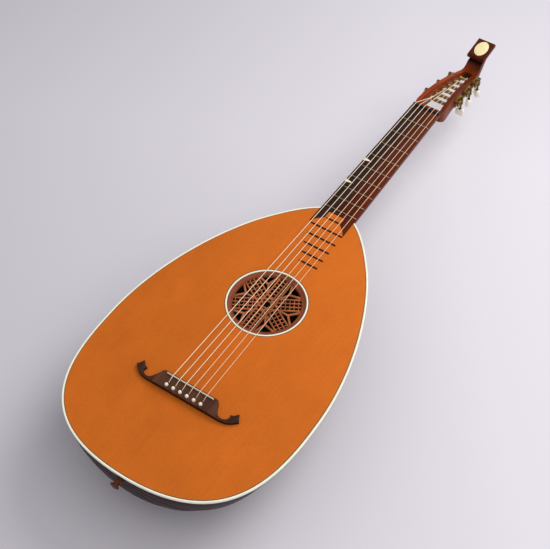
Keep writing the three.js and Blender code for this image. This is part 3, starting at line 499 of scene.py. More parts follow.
def lofted(name, rings):
    """A closed body through rings with the same number of places each, in millimetres."""
    columns = len(rings[0])
    bpy.ops.mesh.primitive_grid_add(x_subdivisions=columns, y_subdivisions=len(rings) - 1)
    piece = new_piece(name)
    for row, ring in enumerate(rings):
        for column in range(columns + 1):
            place = Vector(ring[column % columns]) * MM
            piece.data.vertices[row * (columns + 1) + column].co = place
    mend(piece, 0.002, fill=True)
    return piece


def edge_band(name, inner, outer, low, high):
    """A strip round the body between two moved edges."""
    out = edge_line(outer)
    inside = edge_line(inner)
    outline = [(-x, y) for x, y in reversed(out[1:])] + out + inside[::-1]
    return slab(name, [outline + [(-x, y) for x, y in inside[1:]]], low, high)


def dressed_copy(node, name, finish, rounding):
    """A copy of a CAD node as a finished piece, with its edges rounded where asked."""
    piece = copy_of(node, name)
    if rounding:
        round_edges(piece, rounding)
    finished(piece, finish, [node])


# Materials

class Finish:
    """A material under construction, with short calls for the nodes that the finishes share."""

    def __init__(self, name):
        self.material = bpy.data.materials.new(name)
        self.material.use_nodes = True
        self.tree = self.material.node_tree
        self.shader = self.tree.nodes["Principled BSDF"]
        self.coords = self.tree.nodes.new("ShaderNodeTexCoord").outputs["Object"]

    def link(self, output, target):
        self.tree.links.new(output, target)

    def noise(self, scale, detail, distortion=0.0):
        """Noise over object coordinates, scaled to its repeats per metre."""
        mapping = self.tree.nodes.new("ShaderNodeMapping")
        self.link(self.coords, mapping.inputs["Vector"])
        mapping.inputs["Scale"].default_value = scale
        node = self.tree.nodes.new("ShaderNodeTexNoise")
        self.link(mapping.outputs["Vector"], node.inputs["Vector"])
        for name, value in (("Scale", 1.0), ("Detail", detail), ("Roughness", 0.55),
                            ("Distortion", distortion)):
            node.inputs[name].default_value = value
        return node.outputs["Fac"]

    def along(self, direction, reach):
        """A value that rises from 0 to 1 along a direction, from -reach to reach metres."""
        dot = self.tree.nodes.new("ShaderNodeVectorMath")
        dot.operation = "DOT_PRODUCT"
        self.link(self.coords, dot.inputs[0])
        dot.inputs[1].default_value = [part / (2 * reach) for part in direction]
        lift = self.tree.nodes.new("ShaderNodeMath")
        lift.operation = "ADD"
        self.link(dot.outputs["Value"], lift.inputs[0])
        lift.inputs[1].default_value = 0.5
        return lift.outputs["Value"]

    def ramp(self, value, *stops):
        """Colours or greys at places between 0 and 1."""
        node = self.tree.nodes.new("ShaderNodeValToRGB")
        self.link(value, node.inputs["Fac"])
        elements = node.color_ramp.elements
        while len(elements) < len(stops):
            elements.new(1.0)
        for element, (place, shade) in zip(elements, stops):
            element.position = place
            rgb = tuple(shade) if hasattr(shade, "__len__") else (shade, shade, shade)
            element.color = (*rgb[:3], 1.0)
        return node.outputs["Color"]

    def mix(self, share, first, second, blend="MIX"):
        node = self.tree.nodes.new("ShaderNodeMix")
        node.data_type = "RGBA"
        node.blend_type = blend
        for value, socket in ((share, node.inputs["Factor"]), (first, node.inputs["A"]),
                              (second, node.inputs["B"])):
            self.feed(value, socket)
        return node.outputs["Result"]

    def toned(self, share, colour, value, *stops):
        """A colour times greys that follow a value."""
        return self.mix(share, colour, self.ramp(value, *stops), "MULTIPLY")

    def feed(self, value, socket):
        if isinstance(value, bpy.types.NodeSocket):
            self.link(value, socket)
        elif socket.type == "RGBA":
            socket.default_value = (*tuple(value)[:3], 1.0)
        else:
            socket.default_value = value

    def set(self, **values):
        """Shader sockets by name, with underscores for spaces."""
        for name, value in values.items():
            self.feed(value, self.shader.inputs[name.replace("_", " ")])

    def bump(self, height, strength, distance):
        """A relief with a depth in millimetres."""
        node = self.tree.nodes.new("ShaderNodeBump")
        self.link(height, node.inputs["Height"])
        node.inputs["Strength"].default_value = strength
        node.inputs["Distance"].default_value = distance * MM
        self.link(node.outputs["Normal"], self.shader.inputs["Normal"])


ACROSS = (1.0, 0.0, 0.0)
LENGTHWISE = (0.0, 1.0, 0.0)
UPWARDS = (0.0, 0.0, 1.0)
# Reaches of the tones that follow a direction, in metres
NECK_REACH = 0.03
HEAD_REACH_Y = NUT_Y + 0.2
TOP_REACH = FACE_Z + 0.012
# Painted shade in the throat under the tablet: greys along the pegbox
THROAT_PAINTED_SHADE = tuple((((NUT_Y + y * MM) / HEAD_REACH_Y + 1.0) / 2.0, grey) for y, grey in (
    (165.0, 1.0), (169.0, 0.1), (174.0, 0.1), (176.5, 1.0)))


def shaded(colour, factor):
    return tuple(min(channel * factor, 1.0) for channel in tuple(colour)[:3])


def spruce_finish():
    """Orange varnish over straight spruce grain, with painted shade that darkens it towards the bass
    side of the tail.
    """
    finish = Finish("Varnished spruce")
    base = colours().soundboard
    rings = finish.noise((780.0, 3.0, 3.0), 2.0)
    fibres = finish.noise((2600.0, 160.0, 60.0), 3.0)
    flakes = finish.noise((260.0, 520.0, 60.0), 4.0)
    age = finish.noise((22.0, 14.0, 4.0), 5.0)
    colour = finish.ramp(rings, (0.35, shaded(base, 0.975)), (0.62, shaded(base, 1.02)))
    colour = finish.toned(0.3, colour, fibres, (0.3, 0.86), (0.7, 1.0))
    colour = finish.toned(0.45, colour, flakes, (0.35, 0.86), (0.65, 1.0))
    colour = finish.toned(0.7, colour, age, (0.3, 0.86), (0.7, 1.06))
    # Painted light and shade across the top: darker towards the bass side of the tail, lighter towards
    # the treble side of the neck.
    painted_light = finish.along((0.75, 0.66, 0.0), 0.42)
    colour = finish.toned(1.0, colour, painted_light, (0.2, 0.82), (0.85, 1.07))
    finish.set(Base_Color=colour, Roughness=0.42, Specular_IOR_Level=0.1)
    finish.bump(fibres, 0.05, 0.1)
    return finish.material


def board_finish():
    """Dark wood of the fingerboard, with painted light that makes it lighter and redder towards its
    treble edge, and a painted highlight along that edge.
    """
    finish = Finish("Board wood")
    bass, treble = colours().fingerboard, shaded(colours().head, 0.46)
    streaks = finish.noise((160.0, 5.0, 120.0), 5.0, 0.6)
    pits = finish.noise((900.0, 40.0, 900.0), 2.0)
    # Painted light: lighter and redder towards the treble edge, with a painted highlight along it.
    tone = finish.ramp(finish.along(ACROSS, NECK_REACH), (0.3, bass), (0.6, shaded(treble, 0.75)),
                       (0.9, shaded(treble, 1.15)))
    wood = finish.toned(0.8, tone, streaks, (0.3, 0.5), (0.7, 1.25))
    colour = finish.toned(0.6, wood, pits, (0.36, 0.5), (0.46, 1.0))
    finish.set(Base_Color=colour, Roughness=0.42, Specular_IOR_Level=0.1)
    finish.bump(pits, 0.2, 0.1)
    return finish.material


def head_finish():
    """Red varnish of the head, with painted light bright on the bass cheek and on the treble cheek's
    outer side, and painted shade under the tablet.
    """
    finish = Finish("Head varnish")
    base = colours().head
    streaks = finish.noise((90.0, 9.0, 90.0), 5.0, 0.6)
    # Painted light across the head: bright on the bass cheek, darker towards the treble cheek, with a
    # painted highlight on the treble cheek's outer side.
    tone = finish.ramp(finish.along(ACROSS, NECK_REACH), (0.25, shaded(base, 1.2)),
                       (0.55, shaded(base, 0.7)), (0.8, shaded(base, 0.45)), (0.94, shaded(base, 0.8)))
    wood = finish.toned(0.8, tone, streaks, (0.3, 0.55), (0.7, 1.25))
    # Painted shade in the throat under the tablet, kept off the pegbox's sides and back by the two
    # masks below.
    throat_shade = finish.ramp(finish.along(LENGTHWISE, HEAD_REACH_Y), *THROAT_PAINTED_SHADE)
    sides = finish.ramp(finish.along(ACROSS, NECK_REACH), (0.29, 1.0), (0.315, 0.0), (0.685, 0.0),
                        (0.71, 1.0))
    back = finish.ramp(finish.along(UPWARDS, TOP_REACH), (0.778, 1.0), (0.792, 0.0))
    shade = finish.mix(1.0, finish.mix(1.0, throat_shade, sides, "LIGHTEN"), back, "LIGHTEN")
    finish.set(Base_Color=finish.mix(1.0, wood, shade, "MULTIPLY"), Roughness=0.35,
               Specular_IOR_Level=0.08)
    finish.bump(streaks, 0.1, 0.1)
    return finish.material


def dark_wood_finish(name, base, gloss=0.45, shine=0.15, contrast=1.0, across=120.0, shade_band=None):
    """A dark wood with streaks and open pores that run along the strings. A shade band is a direction,
    a reach and stops of painted shade, which darkens the wood along that direction."""
    finish = Finish(name)
    streaks = finish.noise((across, 4.0, across), 5.0, 0.6)
    pits = finish.noise((900.0, 40.0, 900.0), 2.0)
    low = 1.0 - 0.45 * contrast
    high = 1.0 + 0.5 * contrast
    wood = finish.ramp(streaks, (0.3, shaded(base, low)), (0.5, base), (0.72, shaded(base, high)))
    colour = finish.toned(0.6, wood, pits, (0.36, 0.55), (0.46, 1.0))
    # Painted shade along the band's direction.
    if shade_band:
        direction, reach, stops = shade_band
        colour = finish.toned(1.0, colour, finish.along(direction, reach), *stops)
    finish.set(Base_Color=colour, Roughness=gloss, Specular_IOR_Level=shine)
    finish.bump(pits, 0.2, 0.1)
    return finish.material


def pale_finish(name, base, gloss=0.35):
    """Bone, pale binding or pearly plastic, with a faint cloudiness."""
    finish = Finish(name)
    clouds = finish.noise((160.0, 90.0, 160.0), 4.0)
    specks = finish.noise((1500.0, 500.0, 1500.0), 2.0)
    colour = finish.ramp(clouds, (0.3, shaded(base, 0.92)), (0.7, shaded(base, 1.05)))
    worn = finish.toned(0.15, colour, specks, (0.3, 0.8), (0.6, 1.0))
    finish.set(Base_Color=worn, Roughness=gloss, Subsurface_Weight=0.05,
               Subsurface_Scale=1.0 * MM)
    finish.bump(specks, 0.08, 0.05)
    return finish.material


def metal_finish(name, base, gloss):
    """Aged metal with fine handling scratches and tarnish."""
    finish = Finish(name)
    tarnish = finish.noise((260.0, 260.0, 260.0), 5.0)
    scratches = finish.noise((300.0, 3000.0, 3000.0), 2.0)
    colour = finish.ramp(tarnish, (0.3, shaded(base, 0.55)), (0.65, base))
    rough = finish.ramp(tarnish, (0.3, gloss + 0.2), (0.7, gloss))
    finish.set(Base_Color=colour, Metallic=1.0, Roughness=rough)
    finish.bump(scratches, 0.08, 0.04)
    return finish.material


def string_finish(name, base):
    """A smooth string with a soft gloss."""
    finish = Finish(name)
    twist = finish.noise((2500.0, 900.0, 2500.0), 2.0)
    colour = finish.ramp(twist, (0.3, shaded(base, 0.9)), (0.7, base))
    finish.set(Base_Color=colour, Roughness=0.35, Specular_IOR_Level=0.3)
    return finish.material


FINISHES = {}


def finish_named(name):
    """The material of a finish, made when a piece first asks for it."""
    if name not in FINISHES:
        tone = colours()
        wood, pale, metal, string = dark_wood_finish, pale_finish, metal_finish, string_finish
        # Painted shade on the bridge: its sides darken towards its foot on the soundboard, below a lit
        # top.
        shade = (UPWARDS, TOP_REACH, ((0.96, 0.2), (0.98, 0.8), (0.985, 1.0)))
        makers = {
            "spruce": (spruce_finish,),
            "bowl": (wood, "Bowl ribs", tone.bowl, 0.45, 0.1, 0.8, 40.0),
            "inner": (wood, "Bare spruce", (0.45, 0.26, 0.12), 0.75),
            "line": (wood, "Dark line", (0.16, 0.085, 0.025), 0.5),
            "rose": (wood, "Carved rose", (0.4, 0.12, 0.042), 0.6, 0.1, 0.9),
            "cove": (wood, "Rose cove", (0.27, 0.07, 0.027), 0.6, 0.15, 0.6, 60.0),
            "bridge": (wood, "Bridge wood", tone.bridge, 0.55, 0.08, 0.9, 120.0, shade),
            "board": (board_finish,),
            "neck": (wood, "Neck varnish", shaded(tone.head, 0.6), 0.3, 0.3, 0.6),
            "head": (head_finish,),
            "tablet": (wood, "Tablet", shaded(tone.head, 0.42), 0.4, 0.08, 0.9, 60.0),
            # Black of the nut, also used for the sheet of painted shade at the slot's blind end
            "black": (wood, "Black nut", (0.012, 0.014, 0.016), 0.35),
            "turned": (wood, "Turned wood", (0.085, 0.02, 0.004), 0.3, 0.15),
            "inlay": (pale, "Pale inlay", tone.inlay),
            "bone": (pale, "Bone", (1.0, 0.88, 0.66), 0.28),
            "oval": (pale, "Oval", (0.92, 0.8, 0.42), 0.4),
            "button": (pale, "Button", (0.97, 0.92, 0.76), 0.22),
            "brass": (metal, "Aged brass", (0.4, 0.26, 0.075), 0.38),
            "steel": (metal, "Dark steel", (0.1, 0.085, 0.07), 0.4),
            "fret": (metal, "Fret metal", (0.72, 0.5, 0.34), 0.36),
            "fret_wood": (wood, "Fret wood", (0.016, 0.006, 0.004), 0.6, 0.08),
            "treble": (string, "Clear string", (1.0, 0.76, 0.5)),
            "string": (string, "Pale string", (1.0, 0.88, 0.62)),
        }
        maker, *values = makers[name]
        FINISHES[name] = maker(*values)
    return FINISHES[name]


# Pieces


class MakeStage(bpy.types.Operator):
    """Camera, soft lamps and the pale paper under the instrument."""

    bl_idname = "lute.stage"
    bl_label = "Stage"

    def execute(self, context):
        bpy.ops.object.camera_add(
            location=CAMERA_SPOT, rotation=[math.radians(angle) for angle in CAMERA_TURN])
        camera = context.active_object
        camera.name = "Camera"
        camera.data.lens = CAMERA_LENS
        camera.data.sensor_width = CAMERA_SENSOR
        camera.data.clip_end = 50.0
        context.scene.camera = camera
        self.make_floor()
        self.make_lamps(context)
        return {"FINISHED"}

    def make_floor(self):
        bpy.ops.mesh.primitive_plane_add(size=sizes().floor_size, location=(0.0, 0.0, 0.0))
        floor = bpy.context.active_object
        floor.name = "paper_floor"
        finish = Finish("Studio paper")
        paper = tuple(colours().paper)
        fibre = finish.noise((900.0, 900.0, 900.0), 2.0)
        # Painted shade on the paper: darker towards the instrument's tail and bass side, and darker far
        # beyond the head.
        painted_floor_shade = finish.ramp(finish.along((0.79, 0.613, 0.0), 1.4), (0.12, shaded(paper, 0.66)),
                            (0.42, shaded(paper, 0.86)), (0.58, paper))
        painted_far_shade = finish.toned(1.0, painted_floor_shade, finish.along((-0.41, 0.91, 0.0), 1.4), (0.6, 1.0), (0.8, 0.82))
        colour = finish.toned(0.05, painted_far_shade, fibre, (0.3, 0.7), (0.7, 1.0))
        finish.set(Base_Color=colour, Roughness=0.9, Specular_IOR_Level=0.05)
        floor.data.materials.append(finish.material)

    def make_lamps(self, context):
        lamps = (
            ("key_softbox", (0.95, 2.1, 2.4), 2.0, 58.0),
            ("top_softbox", (1.5, -0.4, 2.8), 2.4, 23.0),
        )
        for name, place, size, power in lamps:
            aim = Vector((0.0, 0.0, 0.1)) - Vector(place)
            bpy.ops.object.light_add(
                type="AREA", location=place, rotation=aim.to_track_quat("-Z", "Y").to_euler())
            lamp = context.active_object
            lamp.name = name
            lamp.data.size = size
            lamp.data.energy = power
        world = bpy.data.worlds.new("Soft room")
        world.use_nodes = True
        background = world.node_tree.nodes["Background"]
        background.inputs["Color"].default_value = (0.96, 0.95, 1.0, 1.0)
        background.inputs["Strength"].default_value = 0.5
        context.scene.world = world
        context.scene.view_settings.view_transform = "Standard"


class MakeSoundboard(bpy.types.Operator):
    """The spruce top, the dark line round it, its wooden frets and the pale binding."""

    bl_idname = "lute.soundboard"
    bl_label = "Soundboard"

    FRET_STARTS = (-1.0, -0.93, -0.66, -0.48, -0.26, -0.03)
    FRET_TAPER = 6.0
    FRET_HALF = 1.15

    def execute(self, context):
        line_place = BINDING_INSET - PURFLING_WIDTH
        holes = [circle(*ROSE, RING_RADIUS + RING_WIDTH / 2 + 1.0)]
        holes += [circle(x, PIN_Y, PIN_HOLE_RADIUS, 24) for x in SADDLE_XS]
        outline = whole(edge_line(line_place) + board_end(GAP))
        plate = slab("top_plate", [outline, *holes], -TOP_THICKNESS, 0.0)
        finished(to_place(plate), "spruce", ["soundboard"])
        line = edge_band("edge_line", line_place, BINDING_INSET - 0.05, -1.6, 0.02)
        finished(to_place(line), "line")
        binding = edge_band("binding_strip", BINDING_INSET, BINDING_WIDTH, -BINDING_HEIGHT, 0.0)
        round_edges(binding, 0.8, 3)
        finished(to_place(binding), "inlay", ["edge_binding"])
        for number, share in enumerate(self.FRET_STARTS):
            self.make_fret(10 + number, share)
        return {"FINISHED"}

    def make_fret(self, fret, share):
        y = fret_y(fret)
        half = self.FRET_HALF
        reach = TONGUE_HALF - 2.2 if y > TAIL_TIP_Y else board_half(y)
        tip = share * reach
        side = [(tip, 0.3), (tip + self.FRET_TAPER, half), (reach - 0.6, half), (reach, 0.4)]
        outline = [(x, y - up) for x, up in side] + [(x, y + up) for x, up in reversed(side)]
        bar = slab(f"wooden_fret_{fret}", [outline], -0.2, 0.9)
        round_edges(bar, 0.3)
        finished(to_place(bar), "fret_wood")


def arc_place(place, angle, moved=0.0):
    """A place on the bowl's arc under a place of the body's edge, moved along the arc."""
    radius = place[0] / math.sin(BOWL_ANGLE)
    turned = angle + moved / radius
    drop = radius * (math.cos(turned) - math.cos(BOWL_ANGLE))
    return (radius * math.sin(turned), place[1], -BINDING_HEIGHT - GAP - drop)


def rib_angle(number):
    return -BOWL_ANGLE + 2 * BOWL_ANGLE * number / RIB_COUNT


class MakeBowl(bpy.types.Operator):
    """The nine ribs of the bowl with the lines between them, its tail clasp and what is inside."""

    bl_idname = "lute.bowl"
    bl_label = "Bowl"

    def execute(self, context):
        inside = BINDING_WIDTH - RIB_THICKNESS
        start = step_at(CLASP_HALF, BINDING_WIDTH, 0.0, 0.5)
        end = step_at(BOARD_HALF_AT_BODY + GAP, inside, len(EDGE_SHARES), len(EDGE_SHARES) - 1)
        steps = edge_steps(start, end)
        for rib in range(RIB_COUNT):
            angles = (rib_angle(rib), rib_angle(rib + 1))
            shifts = (0.0 if rib == 0 else GAP / 2, 0.0 if rib == RIB_COUNT - 1 else -GAP / 2)
            piece = lofted(f"rib_{rib + 1}", [
                self.section(step, (BINDING_WIDTH, inside), angles, shifts) for step in steps])
            round_edges(piece, 0.3, angle=60.0)
            finished(to_place(piece), "bowl", [f"bowl_rib_{rib + 1}"], angle=30.0)
        reaches = (BINDING_WIDTH - 0.2, BINDING_WIDTH - 1.6)
        lines = []
        for joint in range(1, RIB_COUNT):
            angles = (rib_angle(joint), rib_angle(joint))
            lines.append(lofted("rib_line", [
                self.section(step, reaches, angles, (-0.13, 0.13)) for step in steps]))
        finished(to_place(named(join(lines), "rib_lines")), "fret_wood", angle=30.0)
        dressed_copy("end_clasp", "tail_clasp", "bowl", 0.4)
        for node in ("tail_block", "neck_block", "brace_1", "brace_2", "brace_3"):
            cover(NODES[node], "inner")
        return {"FINISHED"}

    def section(self, step, reaches, angles, shifts):
        outer, inner = (edge_place(step, reach) for reach in reaches)
        return [arc_place(outer, angles[0], shifts[0]), arc_place(outer, angles[1], shifts[1]),
                arc_place(inner, angles[1], shifts[1]), arc_place(inner, angles[0], shifts[0])]


class MakeRose(bpy.types.Operator):
    """The carved rose: a cove, a thin moulding and a pierced star, inside a pale ring."""

    bl_idname = "lute.rose"
    bl_label = "Rose"

    REACH = 48.4
    FLOOR = -6.2
    TOP = -3.4
    EYE = 5.6
    ROW = 9.3
    INNER_ROW = 3.1
    STRIP_HALF = 1.05
    BARS = (13.5, 19.5, 25.5, 31.5, 37.5, 43.5)
    BAR_HALF = 0.6
    APEX = 34.5
    SPREAD = math.radians(15.5)

    def execute(self, context):
        outer = RING_RADIUS + RING_WIDTH / 2
        ring = slab("rose_border", [circle(*ROSE, outer - 0.1), circle(*ROSE, outer - RING_WIDTH)],
                    -TOP_THICKNESS, 0.08)
        round_edges(ring, 0.3)
        finished(to_place(ring), "inlay", ["rose_ring"])
        line = slab("rose_line", [circle(*ROSE, outer + 0.98), circle(*ROSE, outer - 0.06)],
                    -TOP_THICKNESS, 0.02)
        finished(to_place(line), "line")
        self.make_cove()
        self.make_star()
        return {"FINISHED"}

    def make_cove(self):
        """The plain hollow border that falls from the ring to the star, with a bead at its foot."""
        profile = [(53.9, -6.2), (53.9, -0.5), (53.3, -0.45), (52.4, -1.3), (51.0, -2.1),
                   (49.8, -2.6), (49.3, -2.7), (49.1, -2.3), (48.7, -2.05), (48.3, -2.2),
                   (48.1, -2.6), (47.6, -3.3), (47.3, -6.2)]
        piece = turned_piece("rose_cove", profile, steps=96, closed=True)
        to_place(piece, shift(*ROSE, 0.0))
        finished(piece, "cove", angle=50.0)

    def make_star(self):
        """Strips that cross over and under each other: four along each arm, with bars between
        them, and a chevron on a spoke between each two arms."""
        strips = []
        for line in range(3):
            angle = math.pi / 2 + line * math.pi / 3
            top = self.TOP - 0.3 * line
            chord = math.sqrt(self.REACH ** 2 - self.ROW ** 2)
            for row in (-self.ROW, self.ROW):
                strips.append(self.strip((-chord, row), (chord, row), self.STRIP_HALF, angle, top))
            for side in (1, -1):
                for row in (-self.INNER_ROW, self.INNER_ROW):
                    strips.append(self.strip((side * self.EYE, row), (side * self.REACH, row),
                                             self.STRIP_HALF - 0.2, angle, top - 0.12))
                for bar in self.BARS:
                    strips.append(self.strip((side * bar, -self.ROW), (side * bar, self.ROW),
                                             self.BAR_HALF, angle, top - 0.6))
        for sector in range(6):
            angle = math.pi / 2 + (sector + 0.5) * math.pi / 3
            top = self.TOP - 0.35 - 0.1 * (sector % 2)
            rim = (self.REACH * math.cos(self.SPREAD), self.REACH * math.sin(self.SPREAD))
            for side in (1, -1):
                strips.append(self.strip((self.APEX, 0.0), (rim[0], side * rim[1]), 1.5, angle,
                                         top - 0.04 * side))
            strips.append(self.strip((2 * self.ROW - 3.0, 0.0), (self.APEX + 1.5, 0.0), 1.35, angle,
                                     top - 0.2))
        eye = slab("eye", [circle(*ROSE, self.EYE + 2.0, 6), circle(*ROSE, self.EYE, 6)],
                   self.FLOOR, self.TOP - 1.0)
        piece = named(join([*strips, eye]), "rose_star")
        round_edges(piece, 0.3)
        finished(to_place(piece), "rose", ["rose"])

    def strip(self, start, end, half, angle, top):
        """A straight strip between two places, turned about the rose's middle."""
        along = Vector((end[0] - start[0], end[1] - start[1])).normalized()
        side = (-along.y * half, along.x * half)
        places = [(start[0] + side[0], start[1] + side[1]), (end[0] + side[0], end[1] + side[1]),
                  (end[0] - side[0], end[1] - side[1]), (start[0] - side[0], start[1] - side[1])]
        cos, sin = math.cos(angle), math.sin(angle)
        turned = [(ROSE[0] + x * cos - y * sin, ROSE[1] + x * sin + y * cos) for x, y in places]
        return slab("strip", [turned], self.FLOOR, top)


class MakeBridge(bpy.types.Operator):
    """The bridge with its curled fish-tail tips, the saddle and the six pins."""

    bl_idname = "lute.bridge"
    bl_label = "Bridge"

    # Places on the treble half of its outline, as shares of the half length and of the depth
    FRONT = ((0.51, 1), (0.54, 0.9), (0.585, 0.56), (0.65, 0.25), (0.72, 0.16), (0.79, 0.24),
             (0.835, 0.45))
    FLARE = ((0.815, 0.64), (0.868, 0.7), (0.925, 0.95), (0.955, 0.74), (1.0, 0.52))
    REAR = ((0.965, 0.42), (0.93, 0.3), (0.87, 0.15), (0.8, 0.05), (0.7, 0))
    # Height of the top along the tips: distance from the middle, and height
    FALL = ((44.0, 9.0), (44.0, 7.6), (47.0, 7.5), (50.0, 7.0), (53.5, 6.1), (57.0, 5.3),
            (61.0, 4.8), (66.0, 4.5), (72.0, 4.4), (84.0, 4.4), (84.0, 9.0))
    SADDLE_HALF_LENGTH = 37.0
    SADDLE_HALF_THICKNESS = 0.45
    # The saddle's slot: its room at each end, and its reach towards the pins and the neck
    SLOT_ROOM = 0.4
    SLOT_REACHES = (0.6, 1.7)
    NOTCH_HALF_WIDTH = 0.95
    NOTCH_LENGTH = 6.6
    # The ball on each pin: its radius, and where its curve starts, in degrees from level
    BALL_RADIUS = 2.5
    BALL_START = -28.0

    def execute(self, context):
        piece = slab("bridge_body", [whole(self.half_outline())], GAP, BRIDGE_HEIGHT)
        for side in (1, -1):
            fall = slab("fall", [[(side * x, z) for x, z in self.FALL]], -60.0, 60.0)
            set_down(fall, shift(0.0, SADDLE_Y, 0.0) @ Matrix.Rotation(math.pi / 2, 4, "X"))
            mend(fall, flat=0.5)
            combine(piece, fall)
        round_edges(piece, 0.9, 3, 40.0)
        half = self.SADDLE_HALF_LENGTH
        behind, ahead = self.SLOT_REACHES
        combine(piece, block("slot", (-half - self.SLOT_ROOM, SADDLE_Y - behind, 4.9),
                             (half + self.SLOT_ROOM, SADDLE_Y + ahead, 12.0)))
        combine(piece, join([peg(x, PIN_Y, -2.0, 12.0, PIN_HOLE_RADIUS) for x in SADDLE_XS]))
        wide = self.NOTCH_HALF_WIDTH
        combine(piece, join([block("notch", (x - wide, PIN_Y, -2.0),
                                   (x + wide, PIN_Y + self.NOTCH_LENGTH, 12.0)) for x in SADDLE_XS]))
        finished(to_place(piece), "bridge", ["bridge"])
        thin = self.SADDLE_HALF_THICKNESS
        blade = block("saddle_blade", (-half, SADDLE_Y - thin, 5.1), (half, SADDLE_Y + thin, 10.35))
        round_edges(blade, 0.4, 3)
        finished(to_place(blade), "bone", ["saddle"])
        self.make_pins()
        return {"FINISHED"}

    def half_outline(self):
        places = [[(across * BRIDGE_TIP_X, BRIDGE_REAR_Y + along * BRIDGE_LENGTH)
                   for across, along in shares] for shares in (self.FRONT, self.FLARE, self.REAR)]
        return smooth_line(places[0], 5) + places[1] + smooth_line(places[2], 5)

    def make_pins(self):
        profile = [(0.0, -5.1), (1.2, -5.1), (1.45, -4.8), (1.85, BRIDGE_HEIGHT + 0.2),
                   (1.9, BRIDGE_HEIGHT + 0.4), (2.35, BRIDGE_HEIGHT + 0.55),
                   (2.45, BRIDGE_HEIGHT + 0.8), (2.3, BRIDGE_HEIGHT + 1.05)]
        centre = BRIDGE_HEIGHT + 1.92
        ball = self.BALL_RADIUS
        for step in range(8):
            angle = math.radians(self.BALL_START + step * (90.0 - self.BALL_START) / 8)
            profile.append((ball * math.cos(angle), centre + ball * math.sin(angle)))
        profile.append((0.0, centre + ball))
        first = turned_piece("pin", profile, steps=28)
        for number, x in enumerate(SADDLE_XS, 1):
            pin = copied(first, f"pin_{number}")
            finished(to_place(pin, shift(x, PIN_Y, 0.0)), "bone", [f"bridge_pin_{number}"],
                     angle=50.0)
        bpy.data.objects.remove(first)


class MakeNeck(bpy.types.Operator):
    """The neck, fingerboard, metal frets, position markers and nut."""

    bl_idname = "lute.neck"
    bl_label = "Neck"

    FRET_COUNT = 9
    NECK_DEPTH = 15.5
    HEEL_DEPTH = 20.5
    NECK_SIDES = 32
    NECK_RINGS = 24
    MARKER_LENGTH = 13.4
    MARKER_HALF_WIDTH = 3.2

    def execute(self, context):
        half = [(BOARD_HALF_AT_NUT, 0.0), *board_end(0.0)]
        board = slab("finger_board", [whole(half)], -BOARD_THICKNESS, 0.0)
        round_edges(board, 0.4)
        finished(to_place(board), "board", ["fingerboard"])
        for fret in range(1, self.FRET_COUNT + 1):
            y = fret_y(fret)
            reach = board_half(y) - 0.3
            bar = block(f"fret_{fret}", (-reach, y - 0.5, -0.5), (reach, y + 0.5, 1.0))
            round_edges(bar, 0.4, 3)
            finished(to_place(bar), "fret")
        for space in (5, 7):
            y = (fret_y(space) + fret_y(space - 1)) / 2
            edge = -board_half(y) + 0.5
            up = self.MARKER_HALF_WIDTH
            outline = [(edge, y - up), (edge + self.MARKER_LENGTH, y), (edge, y + up)]
            wedge = slab(f"marker_{space}", [outline], -1.2, 0.06)
            finished(to_place(wedge), "bone", [f"position_marker_{space}"])
        self.make_shaft()
        self.make_nut()
        return {"FINISHED"}

    def make_shaft(self):
        top = -BOARD_THICKNESS - GAP
        heel_y = millimetres(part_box("bowl_rib_5")[1]).y + 2.0
        end_y = millimetres(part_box("neck")[0]).y
        sides = range(self.NECK_SIDES + 1)
        rings = []
        for step in range(self.NECK_RINGS + 1):
            share = step / self.NECK_RINGS
            y = PEGBOX_START - GAP + (heel_y - PEGBOX_START + GAP) * share
            half = board_half(y) - 0.15
            depth = self.NECK_DEPTH + (self.HEEL_DEPTH - self.NECK_DEPTH) * share
            rings.append([(half * math.cos(math.pi * side / self.NECK_SIDES), y,
                           top - depth * math.sin(math.pi * side / self.NECK_SIDES))
                          for side in sides])
        for y in (heel_y + 0.3, end_y):
            rings.append([arc_place((BOARD_HALF_AT_BODY, y),
                                    BOWL_ANGLE * (1 - 2 * side / self.NECK_SIDES)) for side in sides])
        finished(to_place(lofted("neck_shaft", rings)), "neck", ["neck"], angle=50.0)

    def make_nut(self):
        half = BOARD_HALF_AT_NUT - 0.5
        nut = block("nut_block", (-half, GAP, -BOARD_THICKNESS), (half, 4.0 + GAP, 2.1))
        round_edges(nut, 0.7, 3)
        combine(nut, join([block("groove", (x - radius - 0.15, -3.0, 1.0 + GAP - 0.02),
                                 (x + radius + 0.15, 8.0, 4.0))
                           for x, radius in zip(NUT_XS, STRING_RADII)]))
        finished(to_place(nut), "black", ["nut"])


def rounded_section(half, low, high, low_round, high_round, steps=4):
    """Places round a four-sided section with rounded corners: across and up."""
    section = []
    least = (high - low) * 0.42
    corners = ((half, high, high_round, 0), (-half, high, high_round, 90),
               (-half, low, low_round, 180), (half, low, low_round, 270))
    for x, z, corner_round, start in corners:
        radius = min(corner_round, least)
        middle_x = x - math.copysign(radius, x)
        middle_z = z - radius if z == high else z + radius
        for step in range(steps + 1):
            angle = math.radians(start + 90 * step / steps)
            section.append((middle_x + radius * math.cos(angle), middle_z + radius * math.sin(angle)))
    return section


